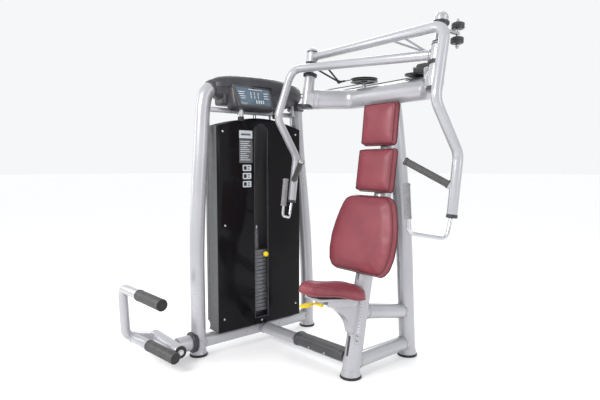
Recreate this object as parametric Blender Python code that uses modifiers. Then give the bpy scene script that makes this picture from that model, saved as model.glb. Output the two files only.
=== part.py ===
"""Seated chest press machine with crossing overhead arms and a weight stack.

Metres, +Z up. The person sits on the seat facing -Y, and the weight stack
stands on the -X side. The origin is the middle of the footprint, on the floor.
"""
import math

import bmesh
import bpy
from mathutils import Vector

# ---- driving dimensions -------------------------------------------------
SEAT_X, POST_Y = 0.241, 0.172        # seat post foot, from the footprint's middle
TOWER_X = -0.800                     # plane of the two stack uprights, from the seat plane
UPRIGHT_R = 0.044
BEAM_WIDE, BEAM_TALL, BEAM_Z = 0.040, 0.057, 1.537   # half sizes of the oval crossbeam
COLUMN_R = 0.048
LINK_R = 0.036
GAP = 0.0003                         # clearance between neighbouring solids

PIVOT_X = 0.449                      # half distance between the two pivot posts
PIVOT_Y, PIVOT_Z = 0.0625, 1.487     # lower end of a pivot post
PIVOT_LEAN = math.atan(0.1464)       # posts lean back
POST_R, SHAFT_R, HUB_R = 0.031, 0.020, 0.034
ARM_R, ROD_R, GRIP_R = 0.0235, 0.0085, 0.0165
ELBOW_X, ELBOW_Y = 0.535, 0.020      # where an arm turns down
RIGHT_ELBOW_Z, LEFT_ELBOW_Z = 1.757, 1.722
RIGHT_HUB_Z, LEFT_HUB_Z = 1.790, 1.652
DROP = [(0.555, -0.076, 1.424), (0.571, 0.082, 1.195), (0.569, 0.044, 0.915)]
DIAGONAL_GRIP = [(0.570, 0.060, 1.045), (0.369, -0.044, 1.168)]
LOOP = [(0.5685, 0.040, 0.9140), (0.562, 0.017, 0.818), (0.457, -0.116, 0.846),
        (0.436, -0.108, 1.052)]
CLEVIS_X, LEFT_CLEVIS, RIGHT_CLEVIS = 0.300, (-0.300, 0.187, 1.634), (0.300, 0.236, 1.702)

CABLE_R = 0.003
LEFT_PULLEY, LEFT_PULLEY_R = (-0.190, 0.285, 1.638), 0.076
RIGHT_PULLEY, RIGHT_PULLEY_R = (0.170, 0.285, 1.622), 0.055
TURN_PULLEY, TURN_PULLEY_R = (-0.759, 0.200, 1.600), 0.042
HEAD_PULLEY_R = 0.045
STACK_Y = -0.075                     # middle of the weight stack
CABLE_SPREAD = 0.012                 # half distance between the two lifting cables

SHROUD_FRONT, SHROUD_BACK = -0.730, -0.872
SHROUD_Y0, SHROUD_Y1 = -0.390, 0.240
SHROUD_Z0, SHROUD_Z1, SHROUD_CROWN = 0.125, 1.378, 0.058
SLOT_Y0, SLOT_Y1 = -0.125, -0.025
PLATE_X, PLATE_Y = 0.090, 0.280
PLATE_Z0, PLATE_PITCH, PLATES = 0.200, 0.0245, 16

BACK_LEAN = math.atan(0.2026)        # lean of the seat post
SEAT_Z = 0.480
SEAT_TILT = math.radians(8.9)          # nose-up tilt of the seat
SEAT_TURN_Y = -0.224                 # where the tilted seat crosses its level height
TOE = 0.020                          # front of the seat gusset's lower tongue

# ---- scene --------------------------------------------------------------
for old in list(bpy.data.objects):
    bpy.data.objects.remove(old, do_unlink=True)
parts = bpy.data.collections.new("chest_press_machine")
tools = bpy.data.collections.new("cutters")
for group in (parts, tools):
    bpy.context.scene.collection.children.link(group)
machine = bpy.data.objects.new("machine", None)
machine.location = (SEAT_X, POST_Y, 0.0)
parts.objects.link(machine)


def material(name, colour, roughness, metallic=0.0):
    mat = bpy.data.materials.new(name)
    mat.use_nodes = True
    shader = mat.node_tree.nodes["Principled BSDF"]
    shader.inputs["Base Color"].default_value = (*colour, 1.0)
    shader.inputs["Roughness"].default_value = roughness
    shader.inputs["Metallic"].default_value = metallic
    return mat


SILVER = material("silver_paint", (0.62, 0.62, 0.64), 0.35, 0.4)
DARK = material("dark_plastic", (0.04, 0.04, 0.045), 0.45)
GLOSS = material("smoked_panel", (0.012, 0.012, 0.013), 0.12)
CHARCOAL = material("charcoal_trim", (0.09, 0.09, 0.09), 0.5)
RUBBER = material("black_rubber", (0.02, 0.02, 0.02), 0.7)
GRIP = material("grip_rubber", (0.12, 0.11, 0.115), 0.75)
CHROME = material("chrome", (0.8, 0.8, 0.82), 0.12, 1.0)
STEEL = material("stack_steel", (0.3, 0.3, 0.31), 0.4, 0.7)
VINYL = material("maroon_vinyl", (0.32, 0.09, 0.11), 0.5)
YELLOW = material("yellow_plastic", (0.85, 0.58, 0.03), 0.4)
SCREEN = material("display", (0.25, 0.33, 0.42), 0.2)


def add(name, mesh, mat, at=(0, 0, 0), turn=(0, 0, 0), tool=False):
    """Places a mesh as an object under the machine, either as a part or as a cutter."""
    obj = bpy.data.objects.new(name, mesh)
    (tools if tool else parts).objects.link(obj)
    obj.parent = machine
    obj.location, obj.rotation_euler = at, turn
    if tool:
        obj.hide_render = True
        obj.display_type = "WIRE"
    elif not mesh.materials:
        mesh.materials.append(mat)
    bpy.context.view_layer.update()
    return obj


def boolean(obj, other, operation):
    mod = obj.modifiers.new(operation.lower(), "BOOLEAN")
    mod.object, mod.operation, mod.solver = other, operation, "EXACT"


def cut(obj, *others):
    for other in others:
        boolean(obj, other, "DIFFERENCE")


def join(obj, *others):
    for other in others:
        boolean(obj, other, "UNION")


def rounded(points, radius, steps=4):
    """A polyline through the points with each inner corner turned into an arc."""
    points = [Vector(p) for p in points]
    out = [points[0]]
    for before, corner, after in zip(points, points[1:], points[2:]):
        a, b = (before - corner).normalized(), (after - corner).normalized()
        half = a.angle(b) / 2
        if half > math.radians(88.5):
            out.append(corner)
            continue
        reach = min(radius / math.tan(half), 0.48 * (before - corner).length,
                    0.48 * (after - corner).length)
        start, end = corner + a * reach, corner + b * reach
        for i in range(steps + 1):
            t = i / steps
            out.append(start.lerp(corner, t).lerp(corner.lerp(end, t), t))
    out.append(points[-1])
    return out


def tube_mesh(points, radius, sides):
    """A round bar along the points, as a closed mesh."""
    curve = bpy.data.curves.new("path", "CURVE")
    curve.dimensions = "3D"
    curve.bevel_depth = radius
    curve.bevel_resolution = sides // 2 - 2
    curve.use_fill_caps = True
    spline = curve.splines.new("POLY")
    spline.points.add(len(points) - 1)
    for point, place in zip(spline.points, points):
        point.co = (*place, 1.0)
    guide = bpy.data.objects.new("path", curve)
    bpy.context.scene.collection.objects.link(guide)
    bpy.context.view_layer.update()
    shape = guide.evaluated_get(bpy.context.evaluated_depsgraph_get())
    mesh = bpy.data.meshes.new_from_object(shape)
    bpy.data.objects.remove(guide, do_unlink=True)
    bm = bmesh.new()
    bm.from_mesh(mesh)
    bmesh.ops.remove_doubles(bm, verts=bm.verts, dist=1e-6)
    bmesh.ops.recalc_face_normals(bm, faces=bm.faces)
    bm.to_mesh(mesh)
    bm.free()
    mesh.shade_smooth()
    mesh.set_sharp_from_angle(angle=math.radians(40))
    mesh.materials.clear()
    return mesh


def tube(name, points, radius, mat=None, bend=0.0, sides=12, steps=4, tool=False):
    path = rounded(points, bend, steps) if bend else [Vector(p) for p in points]
    return add(name, tube_mesh(path, radius, sides), mat, tool=tool)


def turned(name, profile, mat, at=(0, 0, 0), turn=(0, 0, 0), steps=20, closed=False, tool=False):
    """A turned solid: (radius, height) pairs from the top, down the outer side."""
    mesh = bpy.data.meshes.new(name)
    edges = [(i, i + 1) for i in range(len(profile) - 1)]
    if closed:
        edges.append((len(profile) - 1, 0))
    mesh.from_pydata([(r, 0.0, z) for r, z in profile], edges, [])
    obj = add(name, mesh, mat, at, turn, tool)
    mod = obj.modifiers.new("turn", "SCREW")
    mod.axis, mod.angle = "Z", math.tau
    mod.steps = mod.render_steps = steps
    mod.use_merge_vertices, mod.merge_threshold = True, 1e-5
    mod.use_smooth_shade = True
    return obj


def disc(name, radius, thick, mat, at, turn=(0, 0, 0), bore=0.0, edge=0.003, steps=20):
    """A wheel or ring with softened rims."""
    h = thick / 2
    outer = [(radius - edge, h), (radius, h - edge), (radius, edge - h), (radius - edge, -h)]
    if bore:
        return turned(name, outer + [(bore, -h), (bore, h)], mat, at, turn, steps, closed=True)
    return turned(name, [(0, h)] + outer + [(0, -h)], mat, at, turn, steps)


def block(name, low, high, mat=None, soften=0.0, turn=(0, 0, 0), segments=2, tool=False):
    """A box between two corners, with rounded edges; it turns about its own middle."""
    low, high = Vector(low), Vector(high)
    mesh = bpy.data.meshes.new(name)
    bm = bmesh.new()
    bmesh.ops.create_cube(bm, size=1.0)
    for v in bm.verts:
        v.co = Vector(c * s for c, s in zip(v.co, high - low))
    bm.to_mesh(mesh)
    bm.free()
    obj = add(name, mesh, mat, (low + high) / 2, turn, tool)
    if soften:
        mod = obj.modifiers.new("soften", "BEVEL")
        mod.width, mod.segments, mod.limit_method = soften, segments, "ANGLE"
    return obj


def outline(name, points, half_thick, mat, at=(0, 0, 0), turn=(0, 0, 0), tool=False):
    """A flat plate cut to an outline drawn in its own XY plane."""
    curve = bpy.data.curves.new(name, "CURVE")
    curve.dimensions, curve.fill_mode, curve.extrude = "2D", "BOTH", half_thick
    spline = curve.splines.new("POLY")
    spline.points.add(len(points) - 1)
    for point, (x, y) in zip(spline.points, points):
        point.co = (x, y, 0.0, 1.0)
    spline.use_cyclic_u = True
    guide = bpy.data.objects.new("path", curve)
    bpy.context.scene.collection.objects.link(guide)
    bpy.context.view_layer.update()
    shape = guide.evaluated_get(bpy.context.evaluated_depsgraph_get())
    mesh = bpy.data.meshes.new_from_object(shape)
    bpy.data.objects.remove(guide, do_unlink=True)
    bm = bmesh.new()
    bm.from_mesh(mesh)
    bmesh.ops.remove_doubles(bm, verts=bm.verts, dist=1e-6)
    bmesh.ops.recalc_face_normals(bm, faces=bm.faces)
    bm.to_mesh(mesh)
    bm.free()
    mesh.materials.clear()
    return add(name, mesh, mat, at, turn, tool)


def arc(centre, radius, start, end, steps, z):
    """Points on a level circle between two angles in degrees."""
    return [(centre[0] + radius * math.cos(a), centre[1] + radius * math.sin(a), z)
            for a in (math.radians(start + (end - start) * i / steps) for i in range(steps + 1))]


def tangent_angle(point, centre, radius):
    """Where a cable from a point first touches a wheel that it goes round anticlockwise."""
    away = (Vector(point) - Vector(centre)).xy
    return math.degrees(math.atan2(away.y, away.x) + math.acos(radius / away.length))


def pivot(side, height):
    """A point on a pivot post's axis at a given height."""
    return Vector((side * PIVOT_X, PIVOT_Y + (height - PIVOT_Z) * math.tan(PIVOT_LEAN), height))


# ---- stack tower frame --------------------------------------------------
front_path = [(TOWER_X, -0.493, 0.035), (TOWER_X, -0.494, 0.340), (TOWER_X, -0.494, 0.640),
              (TOWER_X, -0.480, 0.940), (TOWER_X, -0.459, 1.235), (TOWER_X, -0.438, 1.500),
              (TOWER_X, -0.418, 1.585), (TOWER_X, -0.340, 1.612)]
rear_path = [(TOWER_X, 0.368, 0.035), (TOWER_X, 0.366, 0.330), (TOWER_X, 0.350, 0.620),
             (TOWER_X, 0.321, 0.910), (TOWER_X, 0.284, 1.230), (TOWER_X, 0.262, 1.500)]
tube("tower_front_upright", front_path, UPRIGHT_R, SILVER, bend=0.05, sides=16)
tube("tower_rear_upright", rear_path, UPRIGHT_R, SILVER, sides=16)
front_tool = tube("front_tool", front_path, UPRIGHT_R + GAP, bend=0.05, sides=16, tool=True)
rear_tool = tube("rear_tool", rear_path, UPRIGHT_R + GAP, sides=16, tool=True)

base_beam = block("tower_base_beam", (TOWER_X - 0.036, -0.480, 0.045),
                  (TOWER_X + 0.036, 0.350, 0.117), SILVER, soften=0.022)
cut(base_beam, front_tool, rear_tool)
for name, y in (("tower_front_foot", -0.493), ("tower_rear_foot", 0.368)):
    turned(name, [(0, 0.0345), (0.046, 0.0345), (0.052, 0.030), (0.054, 0.0), (0, 0.0)], RUBBER,
           (TOWER_X, y, 0.0), steps=16)

head_frame = block("head_frame", (TOWER_X - 0.020, -0.420, 1.462), (TOWER_X + 0.020, 0.240, 1.490),
                   SILVER, soften=0.004)
cut(head_frame, front_tool, rear_tool)
for i, y in enumerate((STACK_Y - 0.120, STACK_Y + 0.120)):
    rod_hole = turned(f"rod_hole_{i}", [(0, 0.02), (0.0095, 0.02), (0.0095, -0.04), (0, -0.04)],
                      None, (TOWER_X, y, 1.477), steps=12, tool=True)
    cut(head_frame, rod_hole)
cable_slot = block("cable_slot", (TOWER_X - 0.017, STACK_Y - 0.012, 1.45),
                   (TOWER_X + 0.017, STACK_Y + 0.012, 1.50), tool=True)
cut(head_frame, cable_slot)

# ---- link to the seat, with the foot plate over it ----------------------
seat_foot = Vector((0.0, 0.0, 0.0))
post_dir = Vector((0.0, math.sin(BACK_LEAN), math.cos(BACK_LEAN)))
link_path = [(TOWER_X + 0.02, -0.030, 0.081), (0.0, 0.030, 0.081)]
link_tool = tube("link_tool", link_path, LINK_R + GAP, tool=True)
beam_tool = block("beam_tool", (TOWER_X - 0.0363, -0.480, 0.0447),
                  (TOWER_X + 0.0363, 0.350, 0.1173), soften=0.022, tool=True)
post_path = [(0.0, -0.004, 0.036), (0.0, 0.112, 0.600), (0.0, 0.246, 1.000),
             (0.0, 0.292, 1.280), (0.0, 0.300, 1.450)]
POST_SIZE_R = 0.048
post_tool = tube("post_tool", post_path, POST_SIZE_R + GAP, bend=0.3, sides=12, tool=True)
link = tube("base_link_tube", link_path, LINK_R, SILVER)
cut(link, beam_tool, post_tool)

link_turn = math.atan2(0.060, 0.78)
cover = block("footrest_cover", (-0.440, -0.0445, 0.062), (-0.055, 0.0555, 0.132), CHARCOAL,
              soften=0.014, turn=(0, 0, link_turn))
cut(cover, link_tool, post_tool)

# ---- seat post, column, crossbeam ---------------------------------------
beam_path = [(x, y, 0.0) for x, y in (pivot(-1, BEAM_Z).xy, (-0.285, 0.275), (0.285, 0.275),
                                      pivot(1, BEAM_Z).xy)]


def oval_beam(name, growth=0.0, mat=None, tool=False):
    """The crossbeam's tube, taller than it is wide."""
    obj = tube(name, beam_path, BEAM_WIDE + growth, mat, bend=0.08, sides=16, tool=tool)
    obj.location.z, obj.scale.z = BEAM_Z, (BEAM_TALL + growth) / (BEAM_WIDE + growth)
    return obj


crossbeam = oval_beam("crossbeam", mat=SILVER)
crossbeam_tool = oval_beam("crossbeam_tool", GAP, tool=True)
post = tube("seat_post", post_path, POST_SIZE_R, SILVER, bend=0.3, sides=12)
column_path = [(0.0, 0.483, 0.0385), (0.0, 0.462, 0.340), (0.0, 0.440, 0.640), (0.0, 0.405, 0.940),
               (0.0, 0.362, 1.230), (0.0, 0.322, 1.454), (0.0, 0.300, 1.520)]
column_tool = tube("column_tool", column_path, COLUMN_R + GAP, sides=14, tool=True)
column = tube("rear_column", column_path, COLUMN_R, SILVER, sides=14)
cut(column, crossbeam_tool)
cut(post, crossbeam_tool, column_tool)
base_tube = tube("seat_base_tube", [(0.0, 0.015, 0.080), (0.0, 0.470, 0.080)], 0.042, SILVER)
cut(base_tube, post_tool, column_tool)
base_tool = tube("base_tool", [(0.0, 0.015, 0.080), (0.0, 0.470, 0.080)], 0.042 + GAP, tool=True)
cut(link, base_tool)
strut = tube("column_strut", [(0.0, 0.065, 0.350), (0.0, 0.465, 0.272)], 0.042, SILVER)
cut(strut, post_tool, column_tool)
turned("post_foot", [(0, 0.0255), (0.050, 0.0255), (0.056, 0.021), (0.059, 0.0), (0, 0.0)],
       RUBBER, (0.0, -0.004, 0.0), steps=16)
turned("column_foot", [(0, 0.0325), (0.050, 0.0325), (0.056, 0.028), (0.059, 0.0), (0, 0.0)],
       RUBBER, (0.0, 0.483, 0.0), steps=16)

tie = tube("tie_tube", [(TOWER_X, 0.262, 1.534), (-0.345, 0.235, 1.530)], 0.022, SILVER)
clamp = turned("tie_clamp", [(0, 0.025), (0.048, 0.025), (0.056, 0.017), (0.056, -0.017),
                             (0.048, -0.025), (0, -0.025)], None, (TOWER_X, 0.262, 1.530),
               steps=16, tool=True)
join(tie, clamp)
cut(tie, crossbeam_tool)

# ---- pivot posts --------------------------------------------------------
lean = (-PIVOT_LEAN, 0, 0)
rise = 1.0 / math.cos(PIVOT_LEAN)


def up(height):
    """Distance along a pivot post for a height above the floor."""
    return (height - PIVOT_Z) * rise


left_profile = [(0, up(1.826)), (SHAFT_R, up(1.826)), (SHAFT_R, up(1.672)), (POST_R, up(1.672)),
                (POST_R, up(1.496)), (0.037, up(1.496)), (0.037, up(1.484)), (0, up(1.484))]
right_profile = [(0, up(1.846)), (0.018, up(1.842)), (0.028, up(1.832)), (POST_R, up(1.818)),
                 (POST_R, up(1.802)), (0.038, up(1.802)), (0.038, up(1.790)), (SHAFT_R, up(1.790)),
                 (SHAFT_R, up(1.606)), (POST_R, up(1.606)), (POST_R, up(1.496)),
                 (0.037, up(1.496)), (0.037, up(1.484)), (0, up(1.484))]
left_post = turned("left_pivot_post", left_profile, SILVER, pivot(-1, PIVOT_Z), lean)
right_post = turned("right_pivot_post", right_profile, SILVER, pivot(1, PIVOT_Z), lean)
for side, label in ((-1, "left"), (1, "right")):
    sleeve = turned(f"{label}_post_tool", [(0, up(1.70)), (POST_R + GAP, up(1.70)),
                                           (POST_R + GAP, up(1.40)), (0, up(1.40))],
                    None, pivot(side, PIVOT_Z), lean, tool=True)
    skirt = turned(f"{label}_skirt_tool", [(0, up(1.4964)), (0.0373, up(1.4964)),
                                           (0.0373, up(1.45)), (0, up(1.45))],
                   None, pivot(side, PIVOT_Z), lean, tool=True)
    cut(crossbeam, sleeve, skirt)


def ring(name, bottom, top, radius, mat, side, edge=0.003):
    """A ring round a pivot post's shaft."""
    profile = [(radius - edge, up(top)), (radius, up(top) - edge), (radius, up(bottom) + edge),
               (radius - edge, up(bottom)), (SHAFT_R + GAP, up(bottom)), (SHAFT_R + GAP, up(top))]
    return turned(name, profile, mat, pivot(side, PIVOT_Z), lean, closed=True)


ring("left_bearing", 1.6724, 1.692, 0.042, DARK, -1)
ring("right_bearing", 1.6064, 1.622, 0.040, DARK, 1)
# ---- arms ---------------------------------------------------------------
for side, label, hub_z, elbow_z, hub_side in ((1, "right", RIGHT_HUB_Z, RIGHT_ELBOW_Z, -1),
                                              (-1, "left", LEFT_HUB_Z, LEFT_ELBOW_Z, 1)):
    hub = pivot(hub_side, hub_z)
    elbow = Vector((side * ELBOW_X, ELBOW_Y, elbow_z))
    start = hub + (elbow - hub).normalized() * 0.0245
    drop = [Vector((side * x, y, z)) for x, y, z in DROP]
    body = tube(f"{label}_arm", [start, elbow] + drop, ARM_R, SILVER, bend=0.075, sides=14)
    if side == 1:
        hub_profile = [(0, up(1.846)), (0.018, up(1.842)), (0.029, up(1.832)), (HUB_R, up(1.818)),
                       (HUB_R, up(1.757)), (SHAFT_R + GAP, up(1.757)), (SHAFT_R + GAP, up(1.8265)),
                       (0, up(1.8265))]
        hub_piece = turned("right_arm_hub", hub_profile, None, pivot(-1, PIVOT_Z), lean, tool=True)
    else:
        hub_profile = [(HUB_R, up(1.702)), (HUB_R, up(1.6226)), (SHAFT_R + GAP, up(1.6226)),
                       (SHAFT_R + GAP, up(1.702))]
        hub_piece = turned("left_arm_hub", hub_profile, None, pivot(1, PIVOT_Z), lean,
                           closed=True, tool=True)
    join(body, hub_piece)
    drop_tool = tube(f"{label}_drop_tool", [elbow] + drop, ARM_R + 0.0009, bend=0.075, sides=14,
                     tool=True)
    loop_points = [(side * x, y, z) for x, y, z in LOOP]
    tube(f"{label}_handle_loop", loop_points, ROD_R, CHROME, bend=0.03, sides=10)
    loop_tool = tube(f"{label}_loop_tool", loop_points, ROD_R + GAP, bend=0.03, sides=10,
                     tool=True)
    low, high = Vector(loop_points[2]), Vector(loop_points[3])
    along = (high - low).normalized()
    upright_grip = tube(f"{label}_upright_grip", [low + along * 0.062, high + along * 0.012],
                        GRIP_R, GRIP, sides=14)
    cut(upright_grip, loop_tool)
    root, tip = (Vector((side * x, y, z)) for x, y, z in DIAGONAL_GRIP)
    diagonal = tube(f"{label}_diagonal_grip", [root, tip], GRIP_R, GRIP, sides=14)
    cut(diagonal, drop_tool)
    cut(body, loop_tool)

    # A two-legged bracket carries each cable end behind its arm.
    clevis = Vector(RIGHT_CLEVIS if side == 1 else LEFT_CLEVIS)
    legs = []
    for i, shift in enumerate((-0.125, -0.035) if side == 1 else (-0.055, 0.045)):
        x = side * CLEVIS_X + shift
        on_arm = start + (elbow - start) * ((x - start.x) / (elbow.x - start.x))
        legs.append(tube(f"{label}_bracket" if i == 0 else f"{label}_bracket_leg",
                         [on_arm, clevis], 0.0055, SILVER if side == 1 else DARK, sides=8,
                         tool=(i == 1)))
    eye = disc(f"{label}_eye", 0.012, 0.012, DARK, clevis, steps=12)
    tools.objects.link(eye)
    parts.objects.unlink(eye)
    eye.hide_render, eye.display_type = True, "WIRE"
    arm_tool = tube(f"{label}_arm_tool", [start, elbow], ARM_R + GAP, sides=14, tool=True)
    join(legs[0], legs[1], eye)
    cut(legs[0], arm_tool)

# ---- stop rollers behind the right post ---------------------------------
stop = disc("arm_stop", 0.031, 0.030, RUBBER, (PIVOT_X, 0.245, 1.807), steps=16)
lower_stop = disc("arm_stop_low", 0.031, 0.030, RUBBER, (PIVOT_X, 0.240, 1.738), steps=16)
spindle = turned("arm_stop_pin", [(0, 0.060), (0.006, 0.056), (0.011, 0.040), (0.008, 0.030),
                                  (0.008, -0.062), (0.011, -0.066), (0.006, -0.082), (0, -0.086)],
                 None, (PIVOT_X, 0.2425, 1.784), steps=12, tool=True)
stop_bar = block("arm_stop_bar", (PIVOT_X - 0.010, 0.098, 1.764), (PIVOT_X + 0.010, 0.245, 1.776),
                 tool=True)
tools.objects.link(lower_stop)
parts.objects.unlink(lower_stop)
lower_stop.hide_render, lower_stop.display_type = True, "WIRE"
join(stop, spindle, lower_stop, stop_bar)
shaft_tool = turned("shaft_tool", [(0, up(1.80)), (SHAFT_R + GAP, up(1.80)),
                                   (SHAFT_R + GAP, up(1.70)), (0, up(1.70))],
                    None, pivot(1, PIVOT_Z), lean, tool=True)
cut(stop, shaft_tool)

# ---- cable pulleys ------------------------------------------------------


def pulley(name, radius, thick, at, turn=(0, 0, 0), grooves=1, lip=0.010):
    """A grooved wheel; the cable lies just off the bottom of the groove."""
    h, floor = thick / 2, radius - CABLE_R - 0.0028
    outer = [(floor + lip, h)]
    for i in range(grooves):
        middle = h - thick * (i + 0.5) / grooves
        half = thick / (2 * grooves)
        outer += [(floor, middle + 0.003), (floor, middle - 0.003)]
        outer += [(floor + lip, middle - half)]
    return turned(name, outer + [(0.0083, -h), (0.0083, h)], DARK, at, turn, closed=True)


def axle(name, at, low, high, foot_r, mat, bracket=None):
    """A pin with a foot under the wheel and a nut over it."""
    profile = [(0, high), (0.007, high - 0.001), (0.008, high - 0.006), (0.008, -0.0122),
               (foot_r, -0.0122), (foot_r, low), (0, low)]
    return turned(name, profile, mat, at, steps=12)


left_wheel = pulley("left_beam_pulley", LEFT_PULLEY_R, 0.022, LEFT_PULLEY)
left_stand = axle("left_pulley_stand", LEFT_PULLEY, -0.080, 0.024, 0.012, SILVER)
right_wheel = pulley("right_beam_pulley", RIGHT_PULLEY_R, 0.010, RIGHT_PULLEY, lip=0.0035)
right_stand = axle("right_pulley_stand", RIGHT_PULLEY, -0.060, 0.034, 0.018, CHARCOAL)
for stand in (left_stand, right_stand):
    cut(stand, crossbeam_tool)
guard_base = block("right_guard_base", (0.112, 0.275, 1.596), (0.214, 0.357, 1.605), tool=True)
guard_back = block("right_guard_back", (0.112, 0.347, 1.596), (0.214, 0.357, 1.690), tool=True)
join(right_stand, guard_base, guard_back)
cut(right_stand, crossbeam_tool)

head_turn = (0, math.pi / 2, 0)
head_at = (TOWER_X, STACK_Y + HEAD_PULLEY_R, 1.600 - HEAD_PULLEY_R)
pulley("head_pulley", HEAD_PULLEY_R, 4 * CABLE_SPREAD, head_at, head_turn, grooves=2)
pulley("turn_pulley", TURN_PULLEY_R, 4 * CABLE_SPREAD, TURN_PULLEY, grooves=2)
head_pin = tube("head_pin", [(TOWER_X - 0.032, head_at[1], head_at[2]),
                             (TOWER_X + 0.032, head_at[1], head_at[2])], 0.008, sides=12, tool=True)
fork = []
for i, x in enumerate((TOWER_X - 0.034, TOWER_X + 0.026)):
    fork.append(block(f"fork_{i}", (x, head_at[1] - 0.018, 1.470), (x + 0.008, head_at[1] + 0.018,
                                                                    head_at[2] + 0.012), tool=True))
fork_base = block("fork_base", (TOWER_X - 0.034, head_at[1] - 0.018, 1.466),
                  (TOWER_X + 0.034, head_at[1] + 0.018, 1.484), tool=True)
turn_pin = turned("turn_pin", [(0, 0.030), (0.008, 0.030), (0.008, -0.0245), (0.014, -0.0245),
                               (0.014, -0.134), (0, -0.134)], None, TURN_PULLEY, steps=12, tool=True)
turn_arm = block("turn_arm", (TOWER_X - 0.015, TURN_PULLEY[1] - 0.014, 1.466),
                 (TURN_PULLEY[0] + 0.014, TURN_PULLEY[1] + 0.014, 1.480), tool=True)
join(head_frame, fork_base, fork[0], fork[1], head_pin, turn_arm, turn_pin)

# ---- cables -------------------------------------------------------------


def cable(name, points):
    return tube(name, points, CABLE_R, STEEL, sides=6)


for label, clevis, wheel, wheel_r, last, shift in (
        ("left", LEFT_CLEVIS, LEFT_PULLEY, LEFT_PULLEY_R, 99.0, 1),
        ("right", RIGHT_CLEVIS, RIGHT_PULLEY, RIGHT_PULLEY_R, 96.0, -1)):
    around = arc(wheel, wheel_r, tangent_angle(clevis, wheel, wheel_r), last, 10, wheel[2])
    leave = Vector(around[0])
    clevis = Vector(clevis)
    cable(f"{label}_cable_pull", [clevis + (leave - clevis).normalized() * 0.0125,
                                  leave + (clevis - leave).normalized() * 0.0030])
    level = TURN_PULLEY[2] + shift * CABLE_SPREAD
    corner = arc(TURN_PULLEY, TURN_PULLEY_R, 98.0, 180.0, 6, level)
    over = [(TOWER_X + shift * CABLE_SPREAD, head_at[1] - HEAD_PULLEY_R * math.sin(a),
             head_at[2] + HEAD_PULLEY_R * math.cos(a))
            for a in (math.radians(90 * i / 6) for i in range(7))]
    cable(f"{label}_cable_run", around + corner + over)

lift_bottom = PLATE_Z0 + PLATES * PLATE_PITCH + 0.146
lift = cable("cable_lift", [(TOWER_X - CABLE_SPREAD, STACK_Y, lift_bottom),
                            (TOWER_X - CABLE_SPREAD, STACK_Y, head_at[2] - 0.0006)])
other = tube("cable_lift_pair", [(TOWER_X + CABLE_SPREAD, STACK_Y, lift_bottom),
                                 (TOWER_X + CABLE_SPREAD, STACK_Y, head_at[2] - 0.0006)],
             CABLE_R, sides=6, tool=True)
yoke = block("cable_yoke", (TOWER_X - 0.020, STACK_Y - 0.009, lift_bottom - 0.004),
             (TOWER_X + 0.020, STACK_Y + 0.009, lift_bottom + 0.020), soften=0.003, tool=True)
join(lift, other, yoke)

# ---- weight stack -------------------------------------------------------
rods = []
for i, y in enumerate((STACK_Y - 0.120, STACK_Y + 0.120)):
    rods.append(tube("guide_rods" if i == 0 else "guide_rod_pair",
                     [(TOWER_X, y, 0.150), (TOWER_X, y, 1.500)], 0.009, CHROME, sides=12,
                     tool=(i == 1)))
rod_base = block("rod_base", (TOWER_X - 0.030, STACK_Y - 0.150, 0.128),
                 (TOWER_X + 0.030, STACK_Y + 0.150, 0.198), soften=0.004, tool=True)
join(rods[0], rods[1], rod_base)
rod_tools = [turned(f"rod_tool_{i}", [(0, 1.5), (0.0098, 1.5), (0.0098, 0.1), (0, 0.1)], None,
                    (TOWER_X, y, 0.0), steps=12, tool=True)
             for i, y in enumerate((STACK_Y - 0.120, STACK_Y + 0.120))]
stem_tool = turned("stem_tool", [(0, 1.0), (0.0130, 1.0), (0.0130, 0.1), (0, 0.1)], None,
                   (TOWER_X, STACK_Y, 0.0), steps=12, tool=True)


def plates(name, first, last):
    """Stacked plates between two counts, with a groove at every joint."""
    outline_points = []
    half_x = PLATE_X / 2
    for i in range(first, last):
        z = PLATE_Z0 + i * PLATE_PITCH
        outline_points += [(half_x - 0.003, z), (half_x, z + 0.003),
                           (half_x, z + PLATE_PITCH - 0.004), (half_x - 0.003, z + PLATE_PITCH - 0.001)]
    left = [(-x, z) for x, z in reversed(outline_points)]
    return outline(name, outline_points + left, PLATE_Y / 2, STEEL, (TOWER_X, STACK_Y, 0.0),
                   (math.pi / 2, 0, 0))


rest = plates("weight_plates", 0, PLATES - 1)
top_z = PLATE_Z0 + (PLATES - 1) * PLATE_PITCH
head_plate = block("head_plate", (TOWER_X - PLATE_X / 2, STACK_Y - PLATE_Y / 2, top_z),
                   (TOWER_X + PLATE_X / 2, STACK_Y + PLATE_Y / 2, top_z + PLATE_PITCH + 0.008),
                   STEEL, soften=0.003)
neck = turned("neck", [(0, lift_bottom - 0.0043), (0.020, lift_bottom - 0.0043),
                       (0.024, lift_bottom - 0.020), (0.024, top_z + 0.020), (0, top_z + 0.020)],
              None, (TOWER_X, STACK_Y, 0.0), steps=16, tool=True)
stem = turned("stem", [(0, top_z + 0.03), (0.0125, top_z + 0.03), (0.0125, PLATE_Z0 + 0.010),
                       (0, PLATE_Z0 + 0.010)], None, (TOWER_X, STACK_Y, 0.0), steps=12, tool=True)
join(head_plate, neck, stem)
cut(rest, stem_tool, *rod_tools)
cut(head_plate, *rod_tools)
pin_z = top_z + PLATE_PITCH / 2
pin_turn = (0, math.pi / 2, 0)
pin = turned("selector_pin", [(0, 0.064), (0.010, 0.062), (0.016, 0.052), (0.016, 0.042),
                              (0.009, 0.034), (0.005, 0.030), (0.005, -0.040), (0, -0.040)],
             YELLOW, (TOWER_X + 0.052, STACK_Y + 0.012, pin_z), pin_turn, steps=14)
pin_hole = turned("pin_hole", [(0, 0.060), (0.0054, 0.060), (0.0054, -0.042), (0, -0.042)], None,
                  (TOWER_X + 0.052, STACK_Y + 0.012, pin_z), pin_turn, steps=14, tool=True)
cut(head_plate, pin_hole)

# ---- shroud and console -------------------------------------------------


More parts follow.
